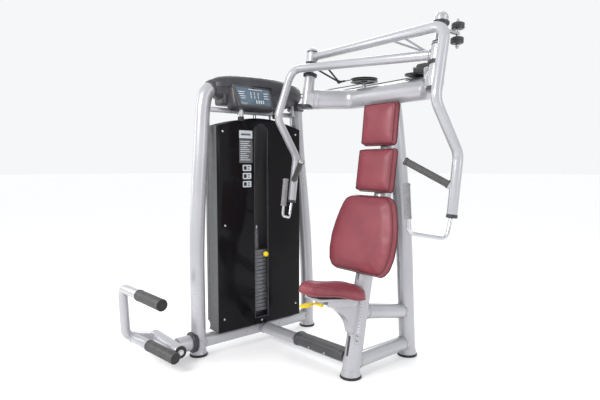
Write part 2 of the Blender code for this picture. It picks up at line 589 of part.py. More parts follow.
def arched(name, low_y, high_y, low_z, high_z, crown, x0, x1, mat, tool=False):
    """An upright panel with an arched top, thick along X."""
    points = [(low_y, low_z), (high_y, low_z)]
    for i in range(9):
        t = i / 8
        points.append((high_y + (low_y - high_y) * t, high_z + crown * math.sin(math.pi * t)))
    # The outline's own X and Y become the machine's Y and Z.
    obj = outline(name, points, abs(x1 - x0) / 2, mat, ((x0 + x1) / 2, 0, 0),
                  (math.pi / 2, 0, math.pi / 2), tool)
    return obj


panel = arched("shroud_front", SHROUD_Y0, SHROUD_Y1, SHROUD_Z0, SHROUD_Z1, SHROUD_CROWN,
               SHROUD_FRONT - 0.010, SHROUD_FRONT, GLOSS)
slot = arched("slot_tool", SLOT_Y0, SLOT_Y1, 0.170, 1.370, 0.03, SHROUD_FRONT - 0.02,
              SHROUD_FRONT + 0.01, None, tool=True)
cut(panel, slot)
shell = arched("shroud_back", SHROUD_Y0, SHROUD_Y1, SHROUD_Z0, SHROUD_Z1, SHROUD_CROWN,
               SHROUD_BACK, SHROUD_FRONT - 0.0103, CHARCOAL)
hollow = block("hollow", (SHROUD_BACK + 0.008, SHROUD_Y0 + 0.010, 0.0),
               (SHROUD_FRONT + 0.05, SHROUD_Y1 - 0.010, 2.0), tool=True)
cut(shell, hollow, rear_tool)

console = turned("console_housing", [(0, 0.100), (0.17, 0.096), (0.29, 0.080), (0.335, 0.052),
                                     (0.345, 0.012), (0.330, -0.028), (0.24, -0.072), (0.11, -0.100),
                                     (0, -0.104)],
                 DARK, (TOWER_X, -0.055, 1.592), steps=24)
console.scale = (0.44, 1.0, 1.0)
inside = turned("console_hollow", [(0, 0.090), (0.16, 0.086), (0.28, 0.070), (0.325, 0.048),
                                   (0.332, 0.012), (0.315, -0.024), (0.20, -0.070), (0.15, -0.15),
                                   (0, -0.15)],
                None, (TOWER_X, -0.055, 1.592), steps=24, tool=True)
inside.scale = (0.42, 1.0, 1.0)
cable_port = block("cable_port", (TOWER_X, 0.180, 1.575), (TOWER_X + 0.3, 0.300, 1.625), tool=True)
front_port = tube("front_port", [(TOWER_X, -0.459, 1.235), (TOWER_X, -0.438, 1.500),
                                 (TOWER_X, -0.418, 1.587), (TOWER_X, -0.300, 1.626)],
                  UPRIGHT_R + 0.010, sides=16, tool=True)
screen_turn = (0, math.radians(-14), 0)
pod = block("console_pod", (TOWER_X + 0.045, -0.321, 1.474), (TOWER_X + 0.150, 0.000, 1.609),
            soften=0.025, turn=screen_turn, tool=True)
join(console, pod)
cut(console, front_port, inside, cable_port)
rear_port = tube("rear_port", rear_path + [(TOWER_X, 0.262, 1.51)], UPRIGHT_R + 0.001, sides=16,
                 tool=True)
tie_port = block("tie_port", (TOWER_X - 0.062, 0.165, 1.46), (TOWER_X + 0.2, 0.330, 1.563), tool=True)
cut(console, rear_port, tie_port)
screen = block("console_display", (TOWER_X + 0.144, -0.308, 1.497), (TOWER_X + 0.152, -0.058, 1.607),
               SCREEN, soften=0.002, turn=screen_turn)
screen_seat = block("screen_seat", (TOWER_X + 0.1437, -0.3083, 1.4967),
                    (TOWER_X + 0.1523, -0.0577, 1.6073), turn=screen_turn, tool=True)
cut(console, screen_seat)

# ---- back pads and seat -------------------------------------------------


def flat_ring(points, radius, steps=3):
    """A closed flat outline with its corners rounded, as (x, y) pairs."""
    ring = [Vector((x, y, 0.0)) for x, y in points]
    start = (ring[-1] + ring[0]) / 2
    return [(p.x, p.y) for p in rounded([start] + ring + [start], radius, steps)[1:-1]]


def pad(name, bottom, top, halves, corner, thick):
    """An upholstered pad: its front face runs from bottom to top, as (y, z) pairs.

    Halves are its half widths at shares of its height.
    """
    (y0, z0), (y1, z1) = bottom, top
    length = math.hypot(y1 - y0, z1 - z0)
    right = [(half, (share - 0.5) * length) for share, half in halves]
    outline_points = flat_ring(right + [(-x, z) for x, z in reversed(right)], corner)
    lean_back = math.atan2(y1 - y0, z1 - z0)
    inward = Vector((0, math.cos(lean_back), -math.sin(lean_back)))
    middle = Vector((0.0, (y0 + y1) / 2, (z0 + z1) / 2)) + inward * thick / 2
    obj = outline(name, outline_points, thick / 2, VINYL, middle, (math.pi / 2 - lean_back, 0, 0))
    mod = obj.modifiers.new("soften", "BEVEL")
    mod.width, mod.segments, mod.limit_method = 0.014, 2, "ANGLE"
    mod.angle_limit = math.radians(50)
    # A square tube holds the pad on the post.
    arm = block(f"{name}_arm", (-0.025, middle.y, middle.z - 0.035), (0.025, middle.y + 0.100,
                                                                     middle.z + 0.035), tool=True)
    join(obj, arm)
    cut(obj, post_tool)
    return obj


pad("back_pad_low", (-0.002, 0.578), (0.103, 0.988),
    [(0, 0.200), (0.10, 0.216), (0.25, 0.228), (0.45, 0.230), (0.62, 0.218), (0.78, 0.200),
     (0.90, 0.184), (1, 0.170)], 0.045, 0.054)
pad("back_pad_middle", (0.134, 1.005), (0.167, 1.234), [(0, 0.126), (1, 0.126)], 0.020, 0.052)
pad("back_pad_top", (0.169, 1.257), (0.194, 1.490), [(0, 0.116), (1, 0.116)], 0.020, 0.048)

SADDLE = [(-0.345, 0.038), (-0.325, 0.066), (-0.270, 0.080), (-0.180, 0.088), (-0.090, 0.106),
          (-0.020, 0.128), (0.025, 0.124), (0.040, 0.100)]   # (y, half width) from the nose back


def tilted(y, z):
    """Where a point of the level seat goes when the seat is tilted."""
    ahead, over = y - SEAT_TURN_Y, z - SEAT_Z
    return (SEAT_TURN_Y + ahead * math.cos(SEAT_TILT) + over * math.sin(SEAT_TILT),
            SEAT_Z - ahead * math.sin(SEAT_TILT) + over * math.cos(SEAT_TILT))


SEAT_HALF = 0.037
saddle_outline = [(w, y) for y, w in SADDLE] + [(-w, y) for y, w in reversed(SADDLE)]
saddle = outline("seat_pad", saddle_outline, SEAT_HALF, VINYL, (0.0, *tilted(0.0, SEAT_Z + SEAT_HALF)),
                 (-SEAT_TILT, 0, 0))
soften = saddle.modifiers.new("soften", "BEVEL")
soften.width, soften.segments, soften.limit_method = 0.022, 3, "ANGLE"
soften.angle_limit = math.radians(60)

cheeks = [tilted(-0.250, 0.452), tilted(-0.245, 0.468), tilted(0.052, 0.468), (0.085, 0.400),
          (0.040, 0.235), (0.010, 0.225), (-TOE, 0.240), (-TOE, 0.290), (-0.045, 0.340),
          (-0.095, 0.386), (-0.160, 0.420)]
carriage = outline("seat_carriage", cheeks, 0.045, SILVER, (0, 0, 0), (math.pi / 2, 0, math.pi / 2))
seat_plate = block("seat_plate", (-0.060, -0.155, -0.0063), (0.060, 0.155, 0.0063), tool=True,
                   soften=0.002)
seat_plate.location = (0.0, *tilted(-0.125, SEAT_Z - 0.0067))
seat_plate.rotation_euler = (-SEAT_TILT, 0, 0)
join(carriage, seat_plate)
carriage_bore = tube("carriage_bore", [(0.0, -0.0101, 0.000), (0.0, 0.112, 0.600)],
                     POST_SIZE_R + 0.0016, sides=12, tool=True)
cut(carriage, carriage_bore)
lever = tube("seat_lever", [(-0.0530, -0.197, 0.428), (-0.075, -0.225, 0.426),
                            (-0.095, -0.265, 0.424), (-0.060, -0.330, 0.424)], 0.0085, YELLOW,
             bend=0.02, sides=10)
post_cut = tube("post_cut", [(0.0, -0.0305, -0.1), (0.0, 0.112, 0.600)], POST_SIZE_R + 0.0016,
                sides=12, tool=True)
cut(saddle, post_cut)

# ---- foot lever in front of the tower -----------------------------------
LEVER_Y, LEVER_Z = -0.660, 0.088
support = tube("lever_support", [(TOWER_X, -0.480, LEVER_Z), (TOWER_X, LEVER_Y, LEVER_Z)], 0.046,
               SILVER, sides=16)
collar = turned("support_collar", [(0, 0.016), (0.058, 0.016), (0.062, 0.010), (0.062, -0.010),
                                   (0.058, -0.016), (0, -0.016)], None, (TOWER_X, -0.532, LEVER_Z),
                (math.pi / 2, 0, 0), steps=20, tool=True)
join(support, collar)
bar_tool = tube("bar_tool", [(-1.060, LEVER_Y, LEVER_Z), (-0.640, LEVER_Y, LEVER_Z)], 0.0405,
                sides=16, tool=True)
floor_cut = block("floor_cut", (-1.2, -1.2, -0.5), (0.0, 0.0, 0.036), tool=True)
cut(support, front_tool, bar_tool, floor_cut)
lever_bar = tube("lever_frame", [(-1.050, LEVER_Y, LEVER_Z), (-0.692, LEVER_Y, LEVER_Z)], 0.039,
                 SILVER, sides=16)
hook = tube("lever_hook", [(-1.030, LEVER_Y, LEVER_Z), (-1.036, -0.845, 0.130),
                           (-1.062, -0.850, 0.420), (-0.830, -0.838, 0.420)], 0.028,
            bend=0.055, sides=14, tool=True)
stub = tube("lever_stub", [(-1.036, -0.815, 0.124), (-0.855, -0.779, 0.112)], 0.028, sides=14,
            tool=True)
join(lever_bar, hook, stub)
for name, a, b in (("upper_peg", (-0.830, -0.838, 0.420), (-0.560, -0.822, 0.420)),
                   ("lower_peg", (-0.855, -0.779, 0.112), (-0.610, -0.7303, 0.0958))):
    a, b = Vector(a), Vector(b)
    along = (b - a).normalized()
    tube(name, [a + along * GAP * 2, b], 0.033, GRIP, sides=16)
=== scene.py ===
"""Looks for the seated chest press machine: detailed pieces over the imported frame."""
import math

import bmesh
import bpy
from mathutils import Matrix, Vector, noise
from mathutils.bvhtree import BVHTree


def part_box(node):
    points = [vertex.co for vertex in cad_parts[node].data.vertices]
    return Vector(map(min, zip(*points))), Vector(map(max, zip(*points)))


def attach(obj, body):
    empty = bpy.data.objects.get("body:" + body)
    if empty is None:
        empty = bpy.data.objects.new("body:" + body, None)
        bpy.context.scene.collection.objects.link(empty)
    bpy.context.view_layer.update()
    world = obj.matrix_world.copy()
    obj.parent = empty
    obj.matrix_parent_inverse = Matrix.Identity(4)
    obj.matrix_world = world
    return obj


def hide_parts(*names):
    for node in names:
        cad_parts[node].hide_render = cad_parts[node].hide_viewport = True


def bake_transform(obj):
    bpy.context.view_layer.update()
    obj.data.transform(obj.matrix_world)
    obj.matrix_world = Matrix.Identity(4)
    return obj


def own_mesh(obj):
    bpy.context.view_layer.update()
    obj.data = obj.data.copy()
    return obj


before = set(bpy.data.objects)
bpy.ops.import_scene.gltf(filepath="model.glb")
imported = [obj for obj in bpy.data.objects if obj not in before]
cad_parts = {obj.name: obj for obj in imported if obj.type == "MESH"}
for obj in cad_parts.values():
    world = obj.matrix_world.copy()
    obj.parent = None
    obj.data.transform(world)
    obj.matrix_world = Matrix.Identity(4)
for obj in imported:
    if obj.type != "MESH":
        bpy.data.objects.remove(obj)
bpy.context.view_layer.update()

# ---- places, in metres from the foot of the seat post ------------------------
post_low, post_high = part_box("post_foot")
ORIGIN = Vector(((post_low.x + post_high.x) / 2, (post_low.y + post_high.y) / 2 + 0.004, 0.0))
TOWER_X = -0.800
PIVOT_X, PIVOT_Y, PIVOT_Z, PIVOT_LEAN = 0.449, 0.0625, 1.487, math.atan(0.1464)
POST_R, SHAFT_R, HUB_R, ARM_R = 0.031, 0.020, 0.034, 0.0235
ELBOW_X, ELBOW_Y = 0.535, 0.020
ARM_SIDES = {"right": dict(side=1, hub_z=1.790, elbow_z=1.757, clevis=(0.300, 0.236, 1.702)),
             "left": dict(side=-1, hub_z=1.652, elbow_z=1.722, clevis=(-0.300, 0.187, 1.634))}
DROP = [(0.555, -0.076, 1.424), (0.571, 0.082, 1.195), (0.569, 0.044, 0.915)]
DIAGONAL_GRIP = [(0.570, 0.060, 1.045), (0.369, -0.044, 1.168)]
LOOP = [(0.5685, 0.040, 0.9140), (0.562, 0.017, 0.818), (0.457, -0.116, 0.846),
        (0.436, -0.108, 1.052)]
LEFT_PULLEY, LEFT_PULLEY_R = Vector((-0.190, 0.285, 1.638)), 0.076
RIGHT_PULLEY, RIGHT_PULLEY_R = Vector((0.170, 0.285, 1.622)), 0.055
TURN_PULLEY, TURN_PULLEY_R = Vector((-0.759, 0.200, 1.600)), 0.042
STACK_Y, CABLE_SPREAD, CABLE_R = -0.075, 0.012, 0.003
HEAD_PULLEY_R = 0.045
HEAD_PULLEY = Vector((TOWER_X, STACK_Y + HEAD_PULLEY_R, 1.555))
PLATE_X, PLATE_Y, PLATE_Z0, PLATE_PITCH, PLATES = 0.090, 0.280, 0.200, 0.0245, 16
LIFT_BOTTOM = PLATE_Z0 + PLATES * PLATE_PITCH + 0.146
SHROUD_FRONT, SHROUD_BACK = -0.730, -0.872
SHROUD_Y0, SHROUD_Y1, SHROUD_Z0, SHROUD_Z1, SHROUD_CROWN = -0.390, 0.240, 0.125, 1.378, 0.058
LEVER_Y, LEVER_Z = -0.660, 0.088

FRONT_PATH = [(TOWER_X, -0.493, 0.035), (TOWER_X, -0.494, 0.340), (TOWER_X, -0.494, 0.640),
              (TOWER_X, -0.480, 0.940), (TOWER_X, -0.459, 1.235), (TOWER_X, -0.438, 1.500),
              (TOWER_X, -0.418, 1.585), (TOWER_X, -0.340, 1.612)]
REAR_PATH = [(TOWER_X, 0.368, 0.035), (TOWER_X, 0.366, 0.330), (TOWER_X, 0.350, 0.620),
             (TOWER_X, 0.321, 0.910), (TOWER_X, 0.284, 1.230), (TOWER_X, 0.262, 1.520)]
POST_PATH = [(0.0, -0.004, 0.030), (0.0, 0.112, 0.600), (0.0, 0.246, 1.000),
             (0.0, 0.292, 1.280), (0.0, 0.300, 1.490)]
COLUMN_PATH = [(0.0, 0.483, 0.034), (0.0, 0.462, 0.340), (0.0, 0.440, 0.640),
               (0.0, 0.405, 0.940), (0.0, 0.362, 1.230), (0.0, 0.322, 1.454), (0.0, 0.300, 1.520)]
LINK_PATH = [(TOWER_X + 0.03, -0.030, 0.081), (0.0, 0.030, 0.081)]
SADDLE = [(-0.345, 0.036), (-0.325, 0.064), (-0.270, 0.080), (-0.180, 0.088), (-0.105, 0.104),
          (-0.060, 0.121), (-0.025, 0.119), (0.006, 0.100), (0.030, 0.060)]   # (y, half width)
SEAT_TILT, SEAT_TURN_Y, SEAT_Z = math.radians(8.9), -0.224, 0.480


def pivot(side, height):
    """A point on a pivot post's axis at a given height."""
    return Vector((side * PIVOT_X, PIVOT_Y + (height - PIVOT_Z) * math.tan(PIVOT_LEAN), height))


LEAN_AXIS = Vector((0.0, math.sin(PIVOT_LEAN), math.cos(PIVOT_LEAN)))


# ---- materials ---------------------------------------------------------------
def surface(name, light, dark, rough, rough_range=0.06, metallic=0.0, mottle=14.0, grain="noise",
            grain_scale=900.0, grain_height=0.15, dent_scale=0.0, dent_height=0.0, wear_and_highlight=None,
            coat=0.0, coat_rough=0.08, specular=0.5):
    """A procedural finish: mottled colour, uneven gloss, a fine grain and larger unevenness."""
    mat = bpy.data.materials.new(name)
    mat.use_nodes = True
    tree = mat.node_tree
    shader = tree.nodes["Principled BSDF"]

    def fill(node, inputs):
        for socket, value in inputs.items():
            if isinstance(value, bpy.types.NodeSocket):
                tree.links.new(value, node.inputs[socket])
            else:
                node.inputs[socket].default_value = value
        return node

    def add(kind, inputs):
        return fill(tree.nodes.new(f"ShaderNode{kind}"), inputs)

    where = add("TexCoord", {}).outputs["Object"]

    def clouds(scale, detail=4.0):
        return add("TexNoise", {"Scale": scale, "Detail": detail, "Vector": where}).outputs["Fac"]

    def spread(value, low, high, start=0.3, stop=0.7):
        return add("MapRange", {"From Min": start, "From Max": stop, "To Min": low, "To Max": high,
                                "Value": value}).outputs["Result"]

    def mixed(factor, first, second):
        node = tree.nodes.new("ShaderNodeMix")
        node.data_type = "RGBA"
        first, second = ((*c, 1.0) if isinstance(c, tuple) else c for c in (first, second))
        return fill(node, {0: factor, 6: first, 7: second}).outputs[2]

    large, fine = clouds(mottle), clouds(mottle * 22.0, 2.0)
    both = tree.nodes.new("ShaderNodeMath")
    both.operation = "MULTIPLY_ADD"
    fill(both, {0: fine, 1: 0.12, 2: large})
    colour = mixed(spread(both.outputs[0], 0.0, 1.0, 0.36, 0.76), dark, light)
    # Lighter where the surface is sharp and convex: edge wear, and on the grip rubber's ridges a painted
    # highlight.
    if wear_and_highlight:
        edge = add("NewGeometry", {}).outputs["Pointiness"]
        colour = mixed(spread(edge, 0.0, 1.0, 0.53, 0.60), colour, wear_and_highlight)

    if grain == "noise":
        height = clouds(grain_scale, 3.0)
    elif grain == "streak":
        stretch = add("Mapping", {"Scale": (1.0, 1.0, 0.03), "Vector": where}).outputs["Vector"]
        height = add("TexNoise", {"Scale": grain_scale, "Vector": stretch}).outputs["Fac"]
    else:
        cells = tree.nodes.new("ShaderNodeTexVoronoi")
        cells.feature = "SMOOTH_F1" if grain == "pebble" else "DISTANCE_TO_EDGE"
        height = fill(cells, {"Scale": grain_scale, "Vector": where}).outputs["Distance"]
    bump = add("Bump", {"Strength": grain_height, "Distance": 0.0006, "Height": height})
    if dent_height:
        dents = add("Bump", {"Strength": dent_height, "Distance": 0.004,
                             "Height": clouds(dent_scale, 2.0)})
        fill(bump, {"Normal": dents.outputs["Normal"]})
    gloss = spread(clouds(mottle * 3.1), rough - rough_range, rough + rough_range)
    fill(shader, {"Metallic": metallic, "Coat Weight": coat, "Coat Roughness": coat_rough,
                  "Specular IOR Level": specular, "Base Color": colour, "Roughness": gloss,
                  "Normal": bump.outputs["Normal"]})
    return mat


PAINT = surface("silver_paint", (0.47, 0.47, 0.495), (0.41, 0.41, 0.435), 0.30, rough_range=0.03,
                metallic=0.40, mottle=3.0, grain_scale=1400.0, grain_height=0.03, coat=0.4,
                coat_rough=0.12)
WELD = surface("weld_seam", (0.50, 0.50, 0.52), (0.36, 0.36, 0.38), 0.38, metallic=0.5,
               mottle=160.0, grain_scale=420.0, grain_height=0.5)
RUBBER = surface("black_rubber", (0.024, 0.023, 0.023), (0.012, 0.012, 0.012), 0.62,
                 grain_scale=700.0, grain_height=0.3, wear_and_highlight=(0.06, 0.06, 0.06))
GREY_GRIP = surface("grey_grip", (0.235, 0.230, 0.240), (0.165, 0.160, 0.170), 0.55, mottle=60.0,
                    grain_scale=1300.0, grain_height=0.4, wear_and_highlight=(0.32, 0.31, 0.32))
# Grip rubber: the light colour on its sharp ridges is a painted highlight on the knurls and ribs.
GRIP = surface("grip_rubber", (0.080, 0.076, 0.078), (0.045, 0.042, 0.044), 0.50, mottle=60.0,
               grain_scale=1300.0, grain_height=0.4, wear_and_highlight=(0.36, 0.35, 0.36))
CHARCOAL = surface("charcoal_plastic", (0.062, 0.062, 0.066), (0.044, 0.044, 0.048), 0.46,
                   grain="pebble", grain_scale=1500.0, grain_height=0.35, wear_and_highlight=(0.11, 0.11, 0.115))
DARK = surface("dark_plastic", (0.050, 0.050, 0.056), (0.030, 0.030, 0.035), 0.36,
               grain="pebble", grain_scale=1700.0, grain_height=0.18, specular=0.4)
PANEL = surface("smoked_panel", (0.008, 0.008, 0.009), (0.004, 0.004, 0.005), 0.10,
                rough_range=0.035, mottle=3.0, grain_scale=220.0, grain_height=0.015,
                dent_scale=2.2, dent_height=0.03, coat=0.0, specular=0.12)
CHROME = surface("chrome", (0.62, 0.62, 0.65), (0.54, 0.54, 0.57), 0.20, rough_range=0.03,
                 metallic=1.0, grain="streak", grain_scale=1800.0, grain_height=0.03)
STEEL = surface("stack_steel", (0.20, 0.205, 0.22), (0.115, 0.12, 0.13), 0.42, metallic=0.6,
                mottle=40.0, grain_scale=800.0, grain_height=0.25, wear_and_highlight=(0.42, 0.42, 0.44))
ZINC = surface("zinc_bolt", (0.55, 0.55, 0.56), (0.42, 0.42, 0.43), 0.28, metallic=0.9,
               mottle=90.0, grain_scale=900.0, grain_height=0.1)
BLACK_OXIDE = surface("black_oxide", (0.050, 0.050, 0.053), (0.024, 0.024, 0.026), 0.40,
                      metallic=0.6, mottle=80.0, grain_scale=900.0, grain_height=0.15)
VINYL = surface("maroon_vinyl", (0.255, 0.050, 0.066), (0.200, 0.036, 0.050), 0.42, mottle=9.0,
                grain="crease", grain_scale=560.0, grain_height=0.42, dent_scale=26.0,
                dent_height=0.05, coat=0.08, coat_rough=0.34, specular=0.4)
# The back pads' welts: a darker copy of the maroon vinyl, painted shade along the pads' edges.
SHADED_WELT = surface("maroon_welt_painted_shade", (0.095, 0.014, 0.020), (0.060, 0.008, 0.013), 0.44, mottle=30.0,
               grain="crease", grain_scale=800.0, grain_height=0.4)
THREAD = surface("seam_thread", (0.30, 0.085, 0.10), (0.20, 0.05, 0.06), 0.7, mottle=200.0,
                 grain_scale=2500.0, grain_height=0.6)
YELLOW = surface("yellow_plastic", (0.90, 0.66, 0.02), (0.80, 0.55, 0.01), 0.42, mottle=30.0,
                 grain_scale=900.0, grain_height=0.08, specular=0.3)
SCREEN = surface("display_glass", (0.085, 0.135, 0.190), (0.050, 0.085, 0.125), 0.10,
                 rough_range=0.03, mottle=7.0, grain_scale=1200.0, grain_height=0.03,
                 coat=0.8, coat_rough=0.04)
INK = surface("pale_print", (0.62, 0.66, 0.70), (0.50, 0.54, 0.58), 0.45, mottle=40.0,
              grain_scale=1500.0, grain_height=0.1)
INK_DIM = surface("grey_print", (0.13, 0.13, 0.135), (0.09, 0.09, 0.095), 0.5, mottle=40.0,
                  grain_scale=1500.0, grain_height=0.1)
WIRE = surface("steel_cable", (0.13, 0.13, 0.135), (0.07, 0.07, 0.072), 0.40, metallic=0.7,
               mottle=300.0, grain_scale=2200.0, grain_height=0.3)


# ---- mesh makers -------------------------------------------------------------
def rounded(points, radius, steps=10):
    """A polyline through the points with each inner corner turned into a smooth bend."""
    points = [Vector(p) for p in points]
    out = [points[0]]
    for before, corner, after in zip(points, points[1:], points[2:]):
        a, b = (before - corner).normalized(), (after - corner).normalized()
        half = a.angle(b) / 2
        if half > math.radians(89.7):
            out.append(corner)
            continue
        reach = min(radius / math.tan(half), 0.48 * (before - corner).length,
                    0.48 * (after - corner).length)
        start, end = corner + a * reach, corner + b * reach
        for i in range(steps + 1):
            t = i / steps
            out.append(start.lerp(corner, t).lerp(corner.lerp(end, t), t))
    out.append(points[-1])
    return out


def flowing(points, per=8):
    """A smooth curve through all the points."""
    points = [Vector(p) for p in points]
    ends = [points[0] * 2 - points[1]] + points + [points[-1] * 2 - points[-2]]
    out = []
    for a, b, c, d in zip(ends, ends[1:], ends[2:], ends[3:]):
        for i in range(per):
            t = i / per
            out.append(0.5 * ((2 * b) + (c - a) * t + (2 * a - 5 * b + 4 * c - d) * t * t
                              + (3 * b - a - 3 * c + d) * t ** 3))
    return out + [points[-1]]


def even(points, step):
    """The same path with points at an even spacing."""
    points = [Vector(p) for p in points]
    lengths = [(b - a).length for a, b in zip(points, points[1:])]
    count = max(2, round(sum(lengths) / step))
    out, index, walked = [], 0, 0.0
    for i in range(count):
        want = sum(lengths) * i / count
        while walked + lengths[index] < want:
            walked += lengths[index]
            index += 1
        out.append(points[index].lerp(points[index + 1], (want - walked) / lengths[index]))
    return out + [points[-1]]


def as_mesh(bm):
    mesh = bpy.data.meshes.new("piece")
    bm.to_mesh(mesh)
    bm.free()
    return mesh


def finished(bm, at=None):
    """A clean mesh from a bmesh, turned and moved by a matrix if one is given."""
    bmesh.ops.remove_doubles(bm, verts=bm.verts, dist=1e-6)
    bmesh.ops.recalc_face_normals(bm, faces=bm.faces)
    if at is not None:
        bm.transform(at)
    return as_mesh(bm)


def linked(name, data):
    """A new object in the scene that holds a mesh, a light or a camera."""
    obj = bpy.data.objects.new(name, data)
    bpy.context.scene.collection.objects.link(obj)
    return obj


def evaluated(obj):
    return obj.evaluated_get(bpy.context.evaluated_depsgraph_get())


def sweep(path, radius, sides=40, soft=0.0008, shape=None):
    """A round bar along a path; shape(index, angle) may scale the radius round each ring."""
    path = [Vector(p) for p in path]
    radii = radius if isinstance(radius, list) else [radius] * len(path)
    last = len(path) - 1
    along = [(path[min(i + 1, last)] - path[max(i - 1, 0)]).normalized() for i in range(last + 1)]
    stations = []
    for step in range(4):
        swing = math.radians(30 * step)
        stations.append((path[0] + along[0] * soft * (1 - math.cos(swing)), along[0],
                         radii[0] - soft + soft * math.sin(swing), 0))
    stations += [(path[i], along[i], radii[i], i) for i in range(1, last)]
    for step in range(3, -1, -1):
        swing = math.radians(30 * step)
        stations.append((path[-1] - along[-1] * soft * (1 - math.cos(swing)), along[-1],
                         radii[-1] - soft + soft * math.sin(swing), last))
    bm = bmesh.new()
    side, rings = along[0].orthogonal().normalized(), []
    for place, ahead, size, index in stations:
        side = (side - ahead * side.dot(ahead)).normalized()
        other = ahead.cross(side)
        ring = []
        for k in range(sides):
            a = math.tau * k / sides
            reach = size * (shape(index, a) if shape else 1.0)
            ring.append(bm.verts.new(place + (side * math.cos(a) + other * math.sin(a)) * reach))
        rings.append(ring)
    for a, b in zip(rings, rings[1:]):
        for k in range(sides):
            bm.faces.new((a[k], a[(k + 1) % sides], b[(k + 1) % sides], b[k]))
    bm.faces.new(list(reversed(rings[0])))
    bm.faces.new(rings[-1])
    return finished(bm)


def loft(rings):
    """A closed skin through rings of points, closed flat at both ends."""
    bm = bmesh.new()
    rows = [[bm.verts.new(p) for p in ring] for ring in rings]
    for a, b in zip(rows, rows[1:]):
        for k in range(len(a)):
            bm.faces.new((a[k], a[(k + 1) % len(a)], b[(k + 1) % len(a)], b[k]))
    bm.faces.new(list(reversed(rows[0])))
    bm.faces.new(rows[-1])
    return finished(bm)


def facing(at, axis=(0, 0, 1), roll=(1, 0, 0)):
    """A matrix that puts local Z along an axis, and local X as near to roll as it can."""
    z = Vector(axis).normalized()
    x = Vector(roll)
    x = (x - z * x.dot(z))
    x = x.normalized() if x.length > 1e-4 else z.orthogonal().normalized()
    y = z.cross(x)
    turn = Matrix((x, y, z)).transposed().to_4x4()
    return Matrix.Translation(Vector(at)) @ turn


def lathe(profile, at=(0, 0, 0), axis=(0, 0, 1), sides=56, soft=0.0012, closed=False):
    """A turned solid from (radius, height) pairs, with every corner softened."""
    corners = [Vector((r, 0.0, z)) for r, z in profile]
    if closed:
        corners = [(corners[-1] + corners[0]) / 2] + corners + [(corners[-1] + corners[0]) / 2]
    line = rounded(corners, soft, 3)
    if closed:
        line = line[:-1]
    bm = bmesh.new()
    rings = []
    for p in line:
        if p.x < 1e-6:
            rings.append([bm.verts.new((0, 0, p.z))] * sides)
        else:
            rings.append([bm.verts.new((p.x * math.cos(math.tau * k / sides),
                                        p.x * math.sin(math.tau * k / sides), p.z))
                          for k in range(sides)])
    pairs = list(zip(rings, rings[1:])) + ([(rings[-1], rings[0])] if closed else [])
    for a, b in pairs:
        for k in range(sides):
            quad = [a[k], a[(k + 1) % sides], b[(k + 1) % sides], b[k]]
            corners = [v for i, v in enumerate(quad) if v not in quad[:i]]
            if len(corners) > 2:
                bm.faces.new(corners)
    return finished(bm, facing(at, axis))


def rod(radius, top, bottom, *place, **more):
    """A plain round bar between two heights of its own axis."""
    return lathe([(0, top), (radius, top), (radius, bottom), (0, bottom)], *place, **more)


def slab(points, half, soft=0.002, at=None, segments=3):
    """A plate cut to an outline in its own XY plane, with softened edges."""
    bm = bmesh.new()
    base = bm.faces.new([bm.verts.new((x, y, -half)) for x, y in points])
    grown = bmesh.ops.extrude_face_region(bm, geom=[base])
    for v in grown["geom"]:
        if isinstance(v, bmesh.types.BMVert):
            v.co.z = half
    rims = [e for e in bm.edges if abs(e.verts[0].co.z - e.verts[1].co.z) < half]
    if soft:
        bmesh.ops.bevel(bm, geom=rims, offset=soft, segments=segments, profile=0.5,
                        affect="EDGES", clamp_overlap=True)
    return finished(bm, at)


def block(low, high, soft=0.002, turn=None, segments=3):
    """A box between two corners with rounded edges; turn is a matrix about its middle."""
    low, high = Vector(low), Vector(high)
    bm = bmesh.new()
    bmesh.ops.create_cube(bm, size=1.0)
    for v in bm.verts:
        v.co = Vector(c * s for c, s in zip(v.co, high - low))
    bmesh.ops.bevel(bm, geom=list(bm.edges), offset=soft, segments=segments, profile=0.5,
                    affect="EDGES", clamp_overlap=True)
    move = Matrix.Translation((low + high) / 2)
    return finished(bm, move @ turn if turn else move)


def corner_round(points, radius, steps=8):
    """A flat outline with its corners rounded."""
    ring = [Vector((x, y, 0)) for x, y in points]
    start = (ring[-1] + ring[0]) / 2
    out = rounded([start] + ring + [start], radius, steps)[:-1]
    return [(p.x, p.y) for p in out]


def oblong(half_x, half_y):
    """The corners of a flat rectangle about the origin."""
    return [(-half_x, -half_y), (half_x, -half_y), (half_x, half_y), (-half_x, half_y)]


def together(*meshes):
    bm = bmesh.new()
    for mesh in meshes:
        bm.from_mesh(mesh)
    return as_mesh(bm)


def piece(name, mesh, mat, body="frame", nodes=(), sharp=34.0, lay=True):
    """Puts a mesh in the scene on its CAD body, standing for the CAD nodes it replaces.
    """
    mesh.transform(Matrix.Translation(ORIGIN))
    mesh.materials.clear()
    mesh.materials.append(mat)
    mesh.shade_smooth()
    mesh.set_sharp_from_angle(angle=math.radians(sharp))
    obj = linked(name, mesh)
    if lay:
        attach(obj, body)
    if nodes:
        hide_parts(*nodes)
    return obj


def carve(mesh, *cutters):
    """The mesh with the cutter meshes taken out of it."""
    made = [linked("work", shape) for shape in (mesh, *cutters)]
    for cutter in made[1:]:
        mod = made[0].modifiers.new("cut", "BOOLEAN")
        mod.object, mod.operation, mod.solver = cutter, "DIFFERENCE", "EXACT"
    bpy.context.view_layer.update()
    result = bpy.data.meshes.new_from_object(evaluated(made[0]))
    for obj in made:
        bpy.data.objects.remove(obj, do_unlink=True)
    return result


def bead(centre, axis, radius, width=0.004, wobble=0.12, seed=0):
    """A weld bead round a tube: a thin uneven ring."""
    at = facing(centre, axis)
    path = [at @ Vector((radius * math.cos(a), radius * math.sin(a), 0.0))
            for a in (math.tau * k / 72 for k in range(73))]
    sizes = [width * (0.85 + wobble * noise.noise(Vector((k % 72, seed, 0.3)) * 0.9))
             for k in range(73)]
    return sweep(path, sizes, sides=8, soft=0.0002)


